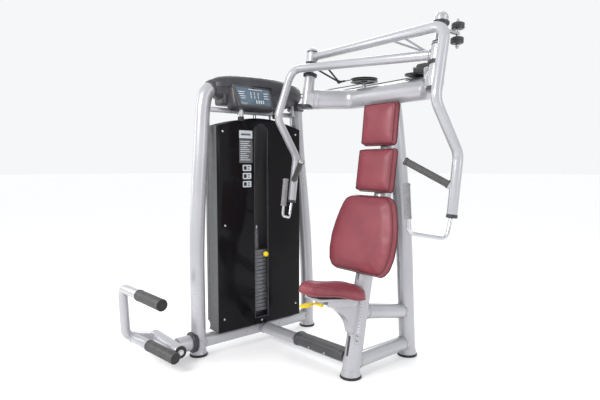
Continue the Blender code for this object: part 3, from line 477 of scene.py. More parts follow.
def screw(at, axis, size=0.007, dome=0.0032):
    """A domed screw head with a socket in it."""
    profile = [(0, dome * 0.45), (size * 0.36, dome * 0.45), (size * 0.40, dome * 1.0),
               (size * 0.72, dome * 0.86), (size * 0.98, dome * 0.30), (size, -0.001), (0, -0.001)]
    return lathe(profile, at, axis, sides=24, soft=0.0003)


def hex_nut(at, axis, size, height):
    ring = [(size * math.cos(math.tau * k / 6), size * math.sin(math.tau * k / 6))
            for k in range(6)]
    return slab(ring, height / 2, soft=size * 0.10, at=facing(at, axis), segments=2)


# ---- stack tower -------------------------------------------------------------
TOWER_R, COLUMN_R, STRUT_R, LEVER_R = 0.044, 0.048, 0.042, 0.028      # tubes
front_line = flowing(FRONT_PATH[:5] + [(TOWER_X, -0.445, 1.440), (TOWER_X, -0.438, 1.500),
                                       (TOWER_X, -0.424, 1.556), (TOWER_X, -0.392, 1.594),
                                       (TOWER_X, -0.340, 1.612)], 8)
piece("tower_front_tube", sweep(front_line, TOWER_R, 56), PAINT, nodes=["tower_front_upright"])
piece("tower_rear_tube", sweep(flowing(REAR_PATH), TOWER_R, 56), PAINT,
      nodes=["tower_rear_upright"])
piece("tower_beam", block((TOWER_X - 0.036, -0.470, 0.045), (TOWER_X + 0.036, 0.345, 0.117),
                          0.022, segments=6), PAINT, nodes=["tower_base_beam"])
beam_welds = [bead((TOWER_X, y, 0.081), (0, 1, 0), 0.0375, 0.0028, seed=seed)
              for y, seed in ((-0.452, 0), (0.326, 3))]
piece("tower_beam_welds", together(*beam_welds), WELD)


def foot(name, node, x, y, top, radius, tube_r):
    """A thin black rubber rim under a flared metal collar."""
    rim = [(0, 0.014), (radius - 0.006, 0.014), (radius - 0.001, 0.011), (radius, 0.006),
           (radius, 0.002), (radius - 0.002, 0.0), (0, 0.0)]
    piece(name, lathe(rim, (x, y, 0.0), sides=56, soft=0.001), RUBBER, nodes=[node])
    flare = [(0, top + 0.006), (tube_r + 0.0008, top + 0.006), (tube_r + 0.0015, top - 0.004),
             (tube_r + 0.003, top - 0.012), (radius - 0.003, 0.0165), (radius - 0.004, 0.0135),
             (0, 0.0135)]
    piece(f"{name}_flare", lathe(flare, (x, y, 0.0), sides=56, soft=0.004), PAINT)


foot("tower_front_pad", "tower_front_foot", TOWER_X, -0.493, 0.038, 0.054, TOWER_R)
foot("tower_rear_pad", "tower_rear_foot", TOWER_X, 0.368, 0.038, 0.054, TOWER_R)
foot("seat_post_pad", "post_foot", 0.0, -0.004, 0.040, 0.059, COLUMN_R)
foot("rear_column_pad", "column_foot", 0.0, 0.483, 0.042, 0.059, COLUMN_R)

head_bar = block((TOWER_X - 0.020, -0.418, 1.462), (TOWER_X + 0.020, 0.238, 1.490), 0.005)
fork = [block((x, HEAD_PULLEY.y - 0.018, 1.470), (x + 0.008, HEAD_PULLEY.y + 0.018, 1.567), 0.002)
        for x in (TOWER_X - 0.034, TOWER_X + 0.026)]
head_pin = lathe([(0, 0.040), (0.012, 0.040), (0.012, 0.034), (0.0078, 0.034), (0.0078, -0.034),
                  (0.012, -0.034), (0.012, -0.040), (0, -0.040)], HEAD_PULLEY, (1, 0, 0), 32)
turn_arm = block((TOWER_X - 0.015, TURN_PULLEY.y - 0.014, 1.466),
                 (TURN_PULLEY.x + 0.014, TURN_PULLEY.y + 0.014, 1.480), 0.002)
turn_pin = lathe([(0, 0.030), (0.0078, 0.030), (0.0078, -0.0245), (0.014, -0.0245),
                  (0.014, -0.134), (0, -0.134)], TURN_PULLEY, sides=32)
piece("tower_head_bar", together(head_bar, *fork, turn_arm), PAINT, nodes=["head_frame"])
piece("tower_head_pins", together(head_pin, turn_pin), ZINC)

# ---- link and foot plate -----------------------------------------------------
piece("base_link", sweep(LINK_PATH, 0.036, 48), PAINT, nodes=["base_link_tube"])
link_dir = (Vector(LINK_PATH[1]) - Vector(LINK_PATH[0])).normalized()
piece("base_link_weld", bead(Vector(LINK_PATH[0]) + link_dir * 0.010, link_dir, 0.037, 0.0032),
      WELD)
cover_at = facing((-0.2475, 0.0055, 0.0), (0, 0, 1), link_dir)
half_wide, cover_mid, cover_up = 0.046, 0.096, 0.036


def cover_ring(along, grow=0.0):
    """One section of the foot plate: round over the top, flatter sides and underneath."""
    ring = []
    for k in range(48):
        a = math.tau * k / 48
        across, rise_by = math.cos(a), math.sin(a)
        square = 0.62 if rise_by < 0 else 0.80
        across = math.copysign(abs(across) ** square, across)
        rise_by = math.copysign(abs(rise_by) ** square, rise_by)
        ring.append(cover_at @ Vector((along, across * (half_wide + grow),
                                       cover_mid + rise_by * (cover_up + grow))))
    return ring


# A raised rounded ring at the tower end, then the long tread body.
cover_steps = [(-0.1925, -0.012), (-0.1918, -0.004), (-0.190, 0.000), (-0.186, 0.0025),
               (-0.178, 0.0035), (-0.168, 0.0030), (-0.160, 0.0012), (-0.154, -0.0010),
               (-0.146, -0.0015), (0.0, -0.0015), (0.150, -0.0015), (0.178, -0.003),
               (0.188, -0.006), (0.1915, -0.012)]
piece("foot_plate", loft([cover_ring(x, grow) for x, grow in cover_steps]), CHARCOAL,
      nodes=["footrest_cover"])
treads = []
for i in range(27):
    along = -0.138 + 0.0115 * i
    line = [p + Vector((0, 0, 0.0002)) for p in cover_ring(along, -0.0012)[4:21]]
    treads.append(sweep(line, 0.0012, 8, soft=0.0003))
piece("foot_plate_treads", together(*treads), GRIP)
piece("foot_plate_screws", together(*[screw(cover_at @ Vector((x, -half_wide + 0.0012, 0.082)),
                                            cover_at.to_3x3() @ Vector((0, -1, 0)), 0.0065)
                                      for x in (-0.060, 0.062)]), ZINC)

# ---- seat post, column and their tubes ---------------------------------------
post_line = flowing(POST_PATH, 14)
POST_LOW, POST_HIGH = Vector((0.0, -0.004, 0.036)), Vector((0.0, 0.112, 0.600))
post_dir = (POST_HIGH - POST_LOW).normalized()
post_ahead = Vector((0.0, -post_dir.z, post_dir.y))      # out of the post's front face


def on_post(height, out=0.0, side=0.0):
    """A point at a height on the seat post's straight part, off its axis."""
    along = post_dir * ((height - POST_LOW.z) / post_dir.z)
    return POST_LOW + along + post_ahead * out + Vector((side, 0, 0))


slot_turn = facing((0, 0, 0), post_dir, (1, 0, 0)).to_3x3().to_4x4()
low_slot = block((-0.008, -0.02, -0.055), (0.008, 0.03, 0.055), 0.006, slot_turn)
low_slot.transform(Matrix.Translation(on_post(0.165, 0.045)))
high_slot = block((-0.004, -0.02, -0.050), (0.004, 0.03, 0.050), 0.003, slot_turn)
high_slot.transform(Matrix.Translation(on_post(0.565, 0.048)))
post_mesh = carve(sweep(even(post_line, 0.02), COLUMN_R, 56), low_slot, high_slot)
piece("seat_post_tube", post_mesh, PAINT, nodes=["seat_post"])
slot_back = block((-0.0078, -0.001, -0.054), (0.0078, 0.001, 0.054), 0.0005, slot_turn)
slot_back.transform(Matrix.Translation(on_post(0.165, 0.028)))
slot_back_high = block((-0.0038, -0.001, -0.049), (0.0038, 0.001, 0.049), 0.0005, slot_turn)
slot_back_high.transform(Matrix.Translation(on_post(0.565, 0.030)))
piece("seat_post_slot_liners", together(slot_back, slot_back_high), RUBBER)
# A polished scale strip with generic tick marks, beside the post's slots.
strip_face = Vector((0.80, -0.60, 0.12))


def on_strip(height, out):
    return on_post(height) + (strip_face - post_dir * strip_face.dot(post_dir)).normalized() * out


strip = slab(corner_round(oblong(0.0065, 0.085), 0.004, 4), 0.0014, 0.0006,
             facing(on_strip(0.325, 0.0484), strip_face, post_dir.cross(strip_face)), 2)
piece("seat_scale_strip", strip, CHROME)
strip_roll = post_dir.cross(strip_face)
ticks = [slab(oblong(0.0042, 0.0009), 0.0006, 0.0002,
              facing(on_strip(0.255 + 0.0175 * i, 0.0498), strip_face, strip_roll), 1)
         for i in range(9)]
piece("seat_scale_ticks", together(*ticks), BLACK_OXIDE)
latch = lathe([(0, 0.013), (0.008, 0.013), (0.011, 0.010), (0.013, 0.003), (0.016, 0.002),
               (0.016, -0.006), (0, -0.006)], on_strip(0.218, 0.0475), strip_face, 36)
latch_low = lathe([(0, 0.010), (0.005, 0.010), (0.009, 0.006), (0.010, -0.004), (0, -0.004)],
                  on_strip(0.192, 0.0475), strip_face, 32)
piece("seat_latch", together(latch, latch_low), ZINC)

column_line = flowing(COLUMN_PATH)
piece("rear_column_tube", sweep(column_line, COLUMN_R, 56), PAINT, nodes=["rear_column"])
piece("seat_base", sweep([(0.0, 0.015, 0.080), (0.0, 0.470, 0.080)], STRUT_R, 48), PAINT,
      nodes=["seat_base_tube"])
strut_a, strut_b = Vector((0.0, 0.065, 0.350)), Vector((0.0, 0.465, 0.272))
piece("column_strut_tube", sweep([strut_a, strut_b], STRUT_R, 48), PAINT, nodes=["column_strut"])
strut_dir = (strut_b - strut_a).normalized()
welds = [((0.0, 0.046, 0.080), (0, 1, 0), 0), ((0.0, 0.432, 0.080), (0, 1, 0), 2),
         (strut_a + strut_dir * 0.045, strut_dir, 4), (strut_b - strut_dir * 0.045, strut_dir, 6)]
piece("seat_frame_welds", together(*[bead(at, axis, 0.0425, 0.003, seed=seed)
                                     for at, axis, seed in welds]), WELD)

# ---- crossbeam, tie tube and pivot posts -------------------------------------
BEAM_WIDE, BEAM_TALL, BEAM_Z = 0.040, 0.057, 1.537         # half sizes of the oval tube
BEAM_BEND_X, BEAM_BEND_Y = 0.285, 0.275
beam_bends = [Vector((side * BEAM_BEND_X, BEAM_BEND_Y, BEAM_Z)) for side in (-1, 1)]
beam_line = rounded([pivot(-1, BEAM_Z), *beam_bends, pivot(1, BEAM_Z)], 0.11, 14)
taller = (Matrix.Translation((0, 0, BEAM_Z)) @ Matrix.Diagonal((1, 1, BEAM_TALL / BEAM_WIDE, 1))
          @ Matrix.Translation((0, 0, -BEAM_Z)))
beam_mesh = sweep(beam_line, BEAM_WIDE, 64)
beam_mesh.transform(taller)
piece("crossbeam_tube", beam_mesh, PAINT, nodes=["crossbeam"])
seams = []
for side, inner in zip((-1, 1), beam_bends):
    outer = pivot(side, BEAM_Z)
    ahead = (outer - inner).normalized()
    for back, grow, seed in ((0.062, 0.0006, 5), (0.034, 0.0012, 8)):
        seam = bead(outer - ahead * back, ahead, BEAM_WIDE + grow, 0.0024, seed=side + seed)
        seam.transform(taller)
        seams.append(seam)
column_top = Vector((0.0, 0.322, 1.454))
seams.append(bead(column_top + Vector((0, -0.010, 0.026)), (0, -0.25, 1), 0.0485, 0.003, seed=9))
piece("crossbeam_welds", together(*seams), WELD)
beam_bracket = block((0.040, 0.262, 1.470), (0.070, 0.300, 1.483), 0.004)
piece("crossbeam_plate", beam_bracket, BLACK_OXIDE)

tie = sweep([(TOWER_X, 0.262, 1.534), (-0.345, 0.235, 1.530)], 0.022, 40)
piece("tie_rod", tie, PAINT, nodes=["tie_tube"])
clamp = lathe([(0.0445, 0.025), (0.050, 0.025), (0.056, 0.019), (0.056, 0.004), (0.0535, 0.002),
               (0.0535, -0.002), (0.056, -0.004), (0.056, -0.019), (0.050, -0.025),
               (0.0445, -0.025)], (TOWER_X, 0.262, 1.530), closed=True)
piece("tower_clamp", clamp, DARK)

rise = 1.0 / math.cos(PIVOT_LEAN)


def up(height):
    """Distance along a pivot post for a height above the floor."""
    return (height - PIVOT_Z) * rise


def turned(side, profile, **more):
    """A turned solid on a pivot post from (radius, height above the floor) pairs."""
    return lathe([(radius, up(height)) for radius, height in profile], pivot(side, PIVOT_Z),
                 LEAN_AXIS, **more)


for side, label in ((-1, "left"), (1, "right")):
    top, shoulder = (1.826, 1.672) if side < 0 else (1.792, 1.606)
    body = turned(side, [(0, top), (SHAFT_R, top), (SHAFT_R, shoulder), (POST_R, shoulder),
                         (POST_R, 1.497), (0, 1.497)], soft=0.002)
    piece(f"{label}_pivot_tube", body, PAINT, nodes=[f"{label}_pivot_post"])
    skirt = turned(side, [(POST_R, 1.503), (0.0365, 1.500), (0.0370, 1.494), (0.0350, 1.484),
                          (0, 1.484)])
    piece(f"{label}_pivot_skirt", skirt, DARK)
right_cap = turned(1, [(0, 1.846), (0.015, 1.8445), (0.025, 1.838), (POST_R - 0.001, 1.826),
                       (POST_R, 1.818), (POST_R, 1.803), (0.010, 1.803), (0.010, 1.800),
                       (0, 1.800)], soft=0.003)
piece("right_post_cap", right_cap, PAINT)
piece("right_post_cap_band", turned(1, [(POST_R, 1.825), (POST_R + 0.0008, 1.823),
                                        (POST_R + 0.0008, 1.820), (POST_R, 1.818)], soft=0.0004,
                                    closed=True), ZINC)
piece("right_post_collar", turned(1, [(0.021, 1.803), (0.036, 1.803), (0.038, 1.800),
                                      (0.038, 1.793), (0.036, 1.790), (0.021, 1.790)], closed=True),
      DARK)


def bearing(name, node, side, bottom, top, radius):
    """A dark bearing ring with a thin lip at each end."""
    middle = (bottom + top) / 2
    profile = [(SHAFT_R + 0.0003, top), (radius - 0.004, top), (radius, top - 0.003),
               (radius, middle + 0.002), (radius - 0.0022, middle + 0.001),
               (radius - 0.0022, middle - 0.001), (radius, middle - 0.002),
               (radius, bottom + 0.003), (radius - 0.004, bottom), (SHAFT_R + 0.0003, bottom)]
    piece(name, turned(side, profile, closed=True), DARK, nodes=[node])


bearing("left_bearing_ring", "left_bearing", -1, 1.6724, 1.692, 0.042)
bearing("right_bearing_ring", "right_bearing", 1, 1.6064, 1.622, 0.040)


# ---- arms --------------------------------------------------------------------
def ribbed(path, radius, collar=0.0035, pitch=0.0055, depth=0.0009, sides=40):
    """A moulded grip with rings along it and a collar at both ends."""
    line = even(path, 0.0011)
    last, sizes = len(line) - 1, []
    for i in range(len(line)):
        off = min(i, last - i) * 0.0011
        if off < 0.009:
            sizes.append(radius + collar * 0.35 * math.sin(math.pi * min(1.0, off / 0.009)))
        else:
            sizes.append(radius - depth * (0.5 + 0.5 * math.cos(math.tau * i * 0.0011 / pitch)))
    return sweep(line, sizes, sides, soft=0.002)


def knurled(path, radius, depth=0.0011, sides=72):
    """A grip with a diamond pattern cut into it and plain collars."""
    line = even(path, 0.0013)
    last = len(line) - 1

    def shape(i, a):
        off = min(i, last - i) * 0.0013
        if off < 0.012:
            return 1.0 + 0.10 * (off > 0.0015)
        phase = i * 0.0013 / 0.0085 * math.tau
        cross = math.sin(6 * a + phase / 2) * math.sin(6 * a - phase / 2)
        return 1.0 - depth / radius * (1 - abs(cross))

    return sweep(line, radius, sides, soft=0.0012, shape=shape)


for label, arm in ARM_SIDES.items():
    side, body = arm["side"], f"{label}_arm"
    hub = pivot(-side, arm["hub_z"])
    elbow = Vector((side * ELBOW_X, ELBOW_Y, arm["elbow_z"]))
    across = (elbow - hub).normalized()
    start = hub + across * 0.0245
    drop = [Vector((side * x, y, z)) for x, y, z in DROP]
    arm_line = rounded([start, elbow] + drop, 0.085, 16)
    tube_mesh = sweep(arm_line, ARM_R, 48)
    if side == 1:
        hub_mesh = turned(-1, [(0, 1.846), (0.014, 1.8445), (0.026, 1.838), (HUB_R - 0.001, 1.827),
                               (HUB_R, 1.818), (HUB_R, 1.760), (HUB_R - 0.002, 1.757),
                               (SHAFT_R + 0.0004, 1.757), (SHAFT_R + 0.0004, 1.8268), (0, 1.8268)],
                          soft=0.002)
        band_z, ring_r, ring_z = (1.822, 1.820, 1.815, 1.813), HUB_R + 0.001, (1.757, 1.749)
    else:
        hub_mesh = turned(1, [(HUB_R, 1.702), (HUB_R, 1.6230), (SHAFT_R + 0.0004, 1.6230),
                              (SHAFT_R + 0.0004, 1.702)], soft=0.002, closed=True)
        band_z, ring_r, ring_z = (1.698, 1.697, 1.693, 1.692), HUB_R - 0.002, (1.710, 1.702)
    band_r = (HUB_R, HUB_R + 0.0012, HUB_R + 0.0012, HUB_R)
    band = turned(-side, list(zip(band_r, band_z)), soft=0.0005, closed=True)
    low_ring = turned(-side, [(SHAFT_R + 0.001, ring_z[0]), (ring_r, ring_z[0]),
                              (ring_r, ring_z[1]), (SHAFT_R + 0.001, ring_z[1])], closed=True)
    piece(f"{label}_arm_tube", together(tube_mesh, hub_mesh), PAINT, body, [f"{label}_arm"])
    piece(f"{label}_arm_rings", together(band, low_ring), DARK, body)
    end_dir = (drop[2] - drop[1]).normalized()
    piece(f"{label}_arm_weld", bead(hub + across * (HUB_R + 0.001), across, ARM_R + 0.001, 0.003,
                                    seed=side), WELD, body)
    collar = lathe([(0, 0.009), (ARM_R - 0.003, 0.009), (ARM_R + 0.0016, 0.006),
                    (ARM_R + 0.0016, -0.006), (ARM_R, -0.008), (0, -0.008)],
                   drop[2] - end_dir * 0.004, end_dir, 48)
    piece(f"{label}_arm_end", collar, DARK, body)

    loop = [Vector((side * x, y, z)) for x, y, z in LOOP]
    piece(f"{label}_loop", sweep(rounded(loop, 0.034, 14), 0.0085, 32), CHROME, body,
          [f"{label}_handle_loop"])
    rise_dir = (loop[3] - loop[2]).normalized()
    low, high = loop[2] + rise_dir * 0.062, loop[3] + rise_dir * 0.012
    piece(f"{label}_hand_grip", ribbed([low, high], 0.0163), GREY_GRIP, body,
          [f"{label}_upright_grip"])
    piece(f"{label}_hand_grip_cap", lathe([(0, 0.0035), (0.010, 0.003), (0.0150, 0.0),
                                           (0.0150, -0.003), (0, -0.003)], high, rise_dir, 36),
          GREY_GRIP, body)
    root, tip = (Vector((side * x, y, z)) for x, y, z in DIAGONAL_GRIP)
    out_dir = (tip - root).normalized()
    begin = root + out_dir * (ARM_R + 0.002)
    piece(f"{label}_cross_grip", knurled([begin, tip - out_dir * 0.003], 0.0170, 0.0016), GRIP,
          body, [f"{label}_diagonal_grip"])
    piece(f"{label}_cross_grip_end", lathe([(0, 0.003), (0.009, 0.003), (0.0150, 0.0005),
                                            (0.0150, -0.005), (0, -0.005)], tip - out_dir * 0.002,
                                           out_dir, 36), ZINC, body)
    piece(f"{label}_cross_grip_stub", lathe([(0, 0.006), (0.0175, 0.006), (0.0185, 0.003),
                                             (0.0185, -0.012), (0, -0.012)], begin, out_dir, 40),
          PAINT, body)

    clevis = Vector(arm["clevis"])
    legs = []
    for shift in ((-0.125, -0.035) if side == 1 else (-0.055, 0.045)):
        x = side * 0.300 + shift
        on_arm = start + (elbow - start) * ((x - start.x) / (elbow.x - start.x))
        down = (clevis - on_arm).normalized()
        legs.append(sweep([on_arm + down * 0.015, clevis], 0.0052, 20))
        legs.append(rod(0.010, 0.002, -0.004, on_arm + down * (ARM_R + 0.002), down, 24))
    eye = lathe([(0.0035, 0.006), (0.012, 0.006), (0.012, -0.006), (0.0035, -0.006)], clevis,
                closed=True)
    legs.append(lathe([(0, 0.010), (0.006, 0.010), (0.006, 0.006), (0.0032, 0.006),
                       (0.0032, -0.006), (0.006, -0.006), (0.006, -0.010), (0, -0.010)], clevis,
                      sides=24, soft=0.0006))
    piece(f"{label}_cable_bracket", together(eye, *legs), PAINT if side == 1 else BLACK_OXIDE,
          body, [f"{label}_bracket"])

# ---- stop rollers behind the right post --------------------------------------
stops = [lathe([(0, 0.015), (0.026, 0.015), (0.031, 0.011), (0.031, 0.002), (0.029, 0.0),
                (0.031, -0.002), (0.031, -0.011), (0.026, -0.015), (0, -0.015)], at)
         for at in ((PIVOT_X, 0.245, 1.807), (PIVOT_X, 0.240, 1.738))]
piece("stop_rollers", together(*stops), DARK, nodes=["arm_stop"])
stop_pin = lathe([(0, 0.060), (0.006, 0.056), (0.011, 0.040), (0.0085, 0.030), (0.008, 0.020),
                  (0.008, -0.062), (0.011, -0.066), (0.006, -0.082), (0, -0.086)],
                 (PIVOT_X, 0.2425, 1.784), sides=36)
stop_bar = block((PIVOT_X - 0.010, 0.104, 1.7635), (PIVOT_X + 0.010, 0.250, 1.7765), 0.003)
piece("stop_bar", together(stop_pin, stop_bar), ZINC)


# ---- pulleys and cables ------------------------------------------------------
def wheel(name, node, body, at, radius, thick, axis=(0, 0, 1), grooves=1, lip=0.010, holes=6):
    """A grooved wheel with a rim, a web with holes and a hub."""
    h, floor = thick / 2, radius - CABLE_R - 0.0028
    edge = floor + lip
    outer = []
    for i in range(grooves):
        middle = h - thick * (i + 0.5) / grooves
        half = thick / (2 * grooves)
        outer += [(edge, middle + half - 0.001), (floor, middle + 0.0032), (floor, middle - 0.0032),
                  (edge, middle - half + 0.001)]
    hub, rim = 0.020, floor - 0.010
    sunk = h * 0.42
    profile = [(0.0084, h), (hub, h), (hub + 0.002, sunk)]
    if rim > hub + 0.008:
        profile += [(rim - 0.002, sunk), (rim, h)]
    profile += outer
    if rim > hub + 0.008:
        profile += [(rim, -h), (rim - 0.002, -sunk)]
    profile += [(hub + 0.002, -sunk), (hub, -h), (0.0084, -h)]
    mesh = lathe(profile, sides=72, soft=0.0008, closed=True)
    if holes and rim > hub + 0.020:
        ring = (hub + rim) / 2
        turns = [math.tau * k / holes for k in range(holes)]
        bores = [rod(0.0072, 0.03, -0.03, (ring * math.cos(a), ring * math.sin(a), 0), sides=24)
                 for a in turns]
        mesh = carve(mesh, *bores)
    mesh.transform(facing(at, axis))
    return piece(name, mesh, DARK, body, [node])


wheel("left_cable_wheel", "left_beam_pulley", "left_wheel", LEFT_PULLEY, LEFT_PULLEY_R, 0.022)
wheel("right_cable_wheel", "right_beam_pulley", "right_wheel", RIGHT_PULLEY, RIGHT_PULLEY_R, 0.010,
      lip=0.0035)
wheel("head_cable_wheel", "head_pulley", "head_wheel", HEAD_PULLEY, HEAD_PULLEY_R,
      4 * CABLE_SPREAD, (1, 0, 0), grooves=2, holes=0)
wheel("turn_cable_wheel", "turn_pulley", "turn_wheel", TURN_PULLEY, TURN_PULLEY_R,
      4 * CABLE_SPREAD, grooves=2, holes=0)

left_stand = lathe([(0, 0.022), (0.0075, 0.022), (0.0078, -0.012), (0.012, -0.013), (0.012, -0.062),
                    (0.020, -0.066), (0.020, -0.078), (0, -0.078)], LEFT_PULLEY, sides=36)
piece("left_wheel_stand", left_stand, PAINT, nodes=["left_pulley_stand"])
wheel_nut = hex_nut(LEFT_PULLEY + Vector((0, 0, 0.0185)), (0, 0, 1), 0.012, 0.009)
wheel_washer = rod(0.016, 0.001, -0.001, LEFT_PULLEY + Vector((0, 0, 0.0125)), sides=32,
                   soft=0.0004)
piece("left_wheel_nut", together(wheel_nut, wheel_washer), ZINC)
guard_face = slab(corner_round([(0.112, 1.596), (0.214, 1.596), (0.214, 1.672), (0.196, 1.690),
                                (0.140, 1.690), (0.112, 1.655)], 0.012, 6), 0.005, 0.002,
                  Matrix.Translation((0, 0.352, 0)) @ Matrix.Rotation(math.pi / 2, 4, "X"))
guard_base = block((0.112, 0.282, 1.596), (0.214, 0.357, 1.605), 0.003)
right_stand = lathe([(0, 0.032), (0.0075, 0.032), (0.0078, -0.012), (0.016, -0.013),
                     (0.018, -0.060), (0, -0.060)], RIGHT_PULLEY, sides=36)
piece("right_wheel_guard", together(guard_face, guard_base, right_stand), CHARCOAL,
      nodes=["right_pulley_stand"])
piece("right_wheel_nut", hex_nut(RIGHT_PULLEY + Vector((0, 0, 0.036)), (0, 0, 1), 0.011, 0.007),
      ZINC)
side_block = block((0.262, 0.232, 1.576), (0.318, 0.276, 1.640), 0.009, segments=4)
piece("crossbeam_block", side_block, PAINT)


def rope(path, step=0.0016):
    """A twisted wire cable: six strands wound round each other."""
    line = even(path, step)
    return sweep(line, CABLE_R, 18, soft=0.0003,
                 shape=lambda i, a: 1.0 + 0.11 * math.cos(6 * (a - i * step * 95.0)) - 0.08)


def arc(centre, radius, start, end, steps, z):
    return [Vector((centre.x + radius * math.cos(a), centre.y + radius * math.sin(a), z))
            for a in (math.radians(start + (end - start) * i / steps) for i in range(steps + 1))]


def tangent_angle(point, centre, radius):
    """Where a cable from a point first touches a wheel that it goes round anticlockwise."""
    away = (Vector(point) - Vector(centre)).xy
    return math.degrees(math.atan2(away.y, away.x) + math.acos(radius / away.length))


for label, wheel_at, wheel_r, last, shift in (("left", LEFT_PULLEY, LEFT_PULLEY_R, 99.0, 1),
                                              ("right", RIGHT_PULLEY, RIGHT_PULLEY_R, 96.0, -1)):
    clevis = Vector(ARM_SIDES[label]["clevis"])
    around = arc(wheel_at, wheel_r, tangent_angle(clevis, wheel_at, wheel_r), last, 40, wheel_at.z)
    leave = around[0]
    ahead = (leave - clevis).normalized()
    pull = piece(f"{label}_pull_cable", rope([clevis + ahead * 0.012, leave]), WIRE,
                 nodes=[f"{label}_cable_pull"], lay=False)
    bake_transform(pull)
    ferrule = sweep([clevis + ahead * 0.006, clevis + ahead * 0.012, clevis + ahead * 0.040,
                     clevis + ahead * 0.046], [0.0060, 0.0064, 0.0058, 0.0040], 24, soft=0.001)
    piece(f"{label}_cable_end", ferrule, BLACK_OXIDE, f"{label}_arm")
    level = TURN_PULLEY.z + shift * CABLE_SPREAD
    corner = arc(TURN_PULLEY, TURN_PULLEY_R, 98.0, 180.0, 16, level)
    over = [Vector((TOWER_X + shift * CABLE_SPREAD, HEAD_PULLEY.y - HEAD_PULLEY_R * math.sin(a),
                    HEAD_PULLEY.z + HEAD_PULLEY_R * math.cos(a)))
            for a in (math.radians(90 * i / 16) for i in range(17))]
    piece(f"{label}_run_cable", rope(around + corner + over), WIRE, nodes=[f"{label}_cable_run"])

lift_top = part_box("cable_lift")[1].z
length = lift_top - LIFT_BOTTOM
for label, shift in (("left", CABLE_SPREAD), ("right", -CABLE_SPREAD)):
    x = TOWER_X + shift
    hanging = rope([(x, STACK_Y, LIFT_BOTTOM + 0.010), (x, STACK_Y, lift_top)])
    cord = piece(f"{label}_lift_cable", hanging, WIRE, nodes=["cable_lift"], lay=False)
    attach(cord, "frame")
    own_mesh(cord)

# ---- weight stack ------------------------------------------------------------
rods = [lathe([(0, 1.500), (0.0088, 1.500), (0.009, 0.150), (0, 0.150)],
              (TOWER_X, STACK_Y + y, 0.0), sides=36) for y in (-0.120, 0.120)]
piece("guide_rod_pair", together(*rods), CHROME, nodes=["guide_rods"])
piece("guide_rod_base", block((TOWER_X - 0.030, STACK_Y - 0.150, 0.128),
                              (TOWER_X + 0.030, STACK_Y + 0.150, 0.197), 0.005), BLACK_OXIDE)
half_x, half_y = PLATE_X / 2, PLATE_Y / 2
plate_outline = corner_round(oblong(half_x, half_y), 0.006, 4)
disc_outline = corner_round(oblong(0.038, 0.120), 0.004, 3)
plates, discs, marks = [], [], []
for i in range(PLATES - 1):
    z = PLATE_Z0 + i * PLATE_PITCH
    plates.append(slab(plate_outline, (PLATE_PITCH - 0.003) / 2, 0.0022,
                       Matrix.Translation((TOWER_X, STACK_Y, z + PLATE_PITCH / 2 - 0.0008))))
    discs.append(slab(disc_outline, 0.0016, 0.0004,
                      Matrix.Translation((TOWER_X, STACK_Y, z + PLATE_PITCH - 0.0012))))
    z = PLATE_Z0 + (i + 0.5) * PLATE_PITCH
    marks.append(block((TOWER_X + half_x - 0.0004, STACK_Y - 0.036, z - 0.0045),
                       (TOWER_X + half_x + 0.0005, STACK_Y - 0.010, z + 0.0035), 0.0003,
                       segments=1))
piece("stack_plates", together(*plates), STEEL, nodes=["weight_plates"])
piece("stack_plate_pads", together(*discs), RUBBER)
piece("stack_plate_marks", together(*marks), INK_DIM)
top_z = PLATE_Z0 + (PLATES - 1) * PLATE_PITCH
head = slab(plate_outline, (PLATE_PITCH + 0.008) / 2, 0.003,
            Matrix.Translation((TOWER_X, STACK_Y, top_z + (PLATE_PITCH + 0.008) / 2)))
neck = lathe([(0, LIFT_BOTTOM - 0.0043), (0.018, LIFT_BOTTOM - 0.0043),
              (0.0235, LIFT_BOTTOM - 0.018), (0.024, top_z + 0.030), (0, top_z + 0.030)],
             (TOWER_X, STACK_Y, 0.0), sides=48)
piece("lifting_plate", together(head, neck), STEEL, "lifted_weight", ["head_plate"])
stem = rod(0.0122, top_z + 0.02, PLATE_Z0 + 0.012, (TOWER_X, STACK_Y, 0.0), sides=40)
piece("selector_stem", stem, CHROME, "lifted_weight")
yoke = block((TOWER_X - 0.020, STACK_Y - 0.009, LIFT_BOTTOM - 0.004),
             (TOWER_X + 0.020, STACK_Y + 0.009, LIFT_BOTTOM + 0.020), 0.004)
piece("cable_yoke", yoke, ZINC, "lifted_weight")
pin_at = Vector((TOWER_X + 0.052, STACK_Y + 0.012, top_z + PLATE_PITCH / 2))
knob = lathe([(0, 0.064), (0.007, 0.0635), (0.0125, 0.060), (0.016, 0.053), (0.0165, 0.047),
              (0.0150, 0.041), (0.010, 0.035), (0.0085, 0.031), (0, 0.031)], pin_at, (1, 0, 0), 48,
             soft=0.003)
pin_rod = lathe([(0, 0.034), (0.005, 0.034), (0.0049, -0.039), (0, -0.040)], pin_at, (1, 0, 0), 28)
piece("selector_knob", knob, YELLOW, "selector", ["selector_pin"])
piece("selector_rod", pin_rod, ZINC, "selector")


# ---- shroud ------------------------------------------------------------------
def arched(low_y, high_y, low_z, high_z, crown, x0, x1, soft):
    """An upright panel with an arched top, thick along X."""
    points = [(low_y, low_z), (high_y, low_z)]
    points += [(high_y + (low_y - high_y) * t, high_z + crown * math.sin(math.pi * t))
               for t in (i / 24 for i in range(25))]
    return slab(points, abs(x1 - x0) / 2, soft, Matrix.Translation(((x0 + x1) / 2, 0, 0))
                @ facing((0, 0, 0), (1, 0, 0), (0, 1, 0)))


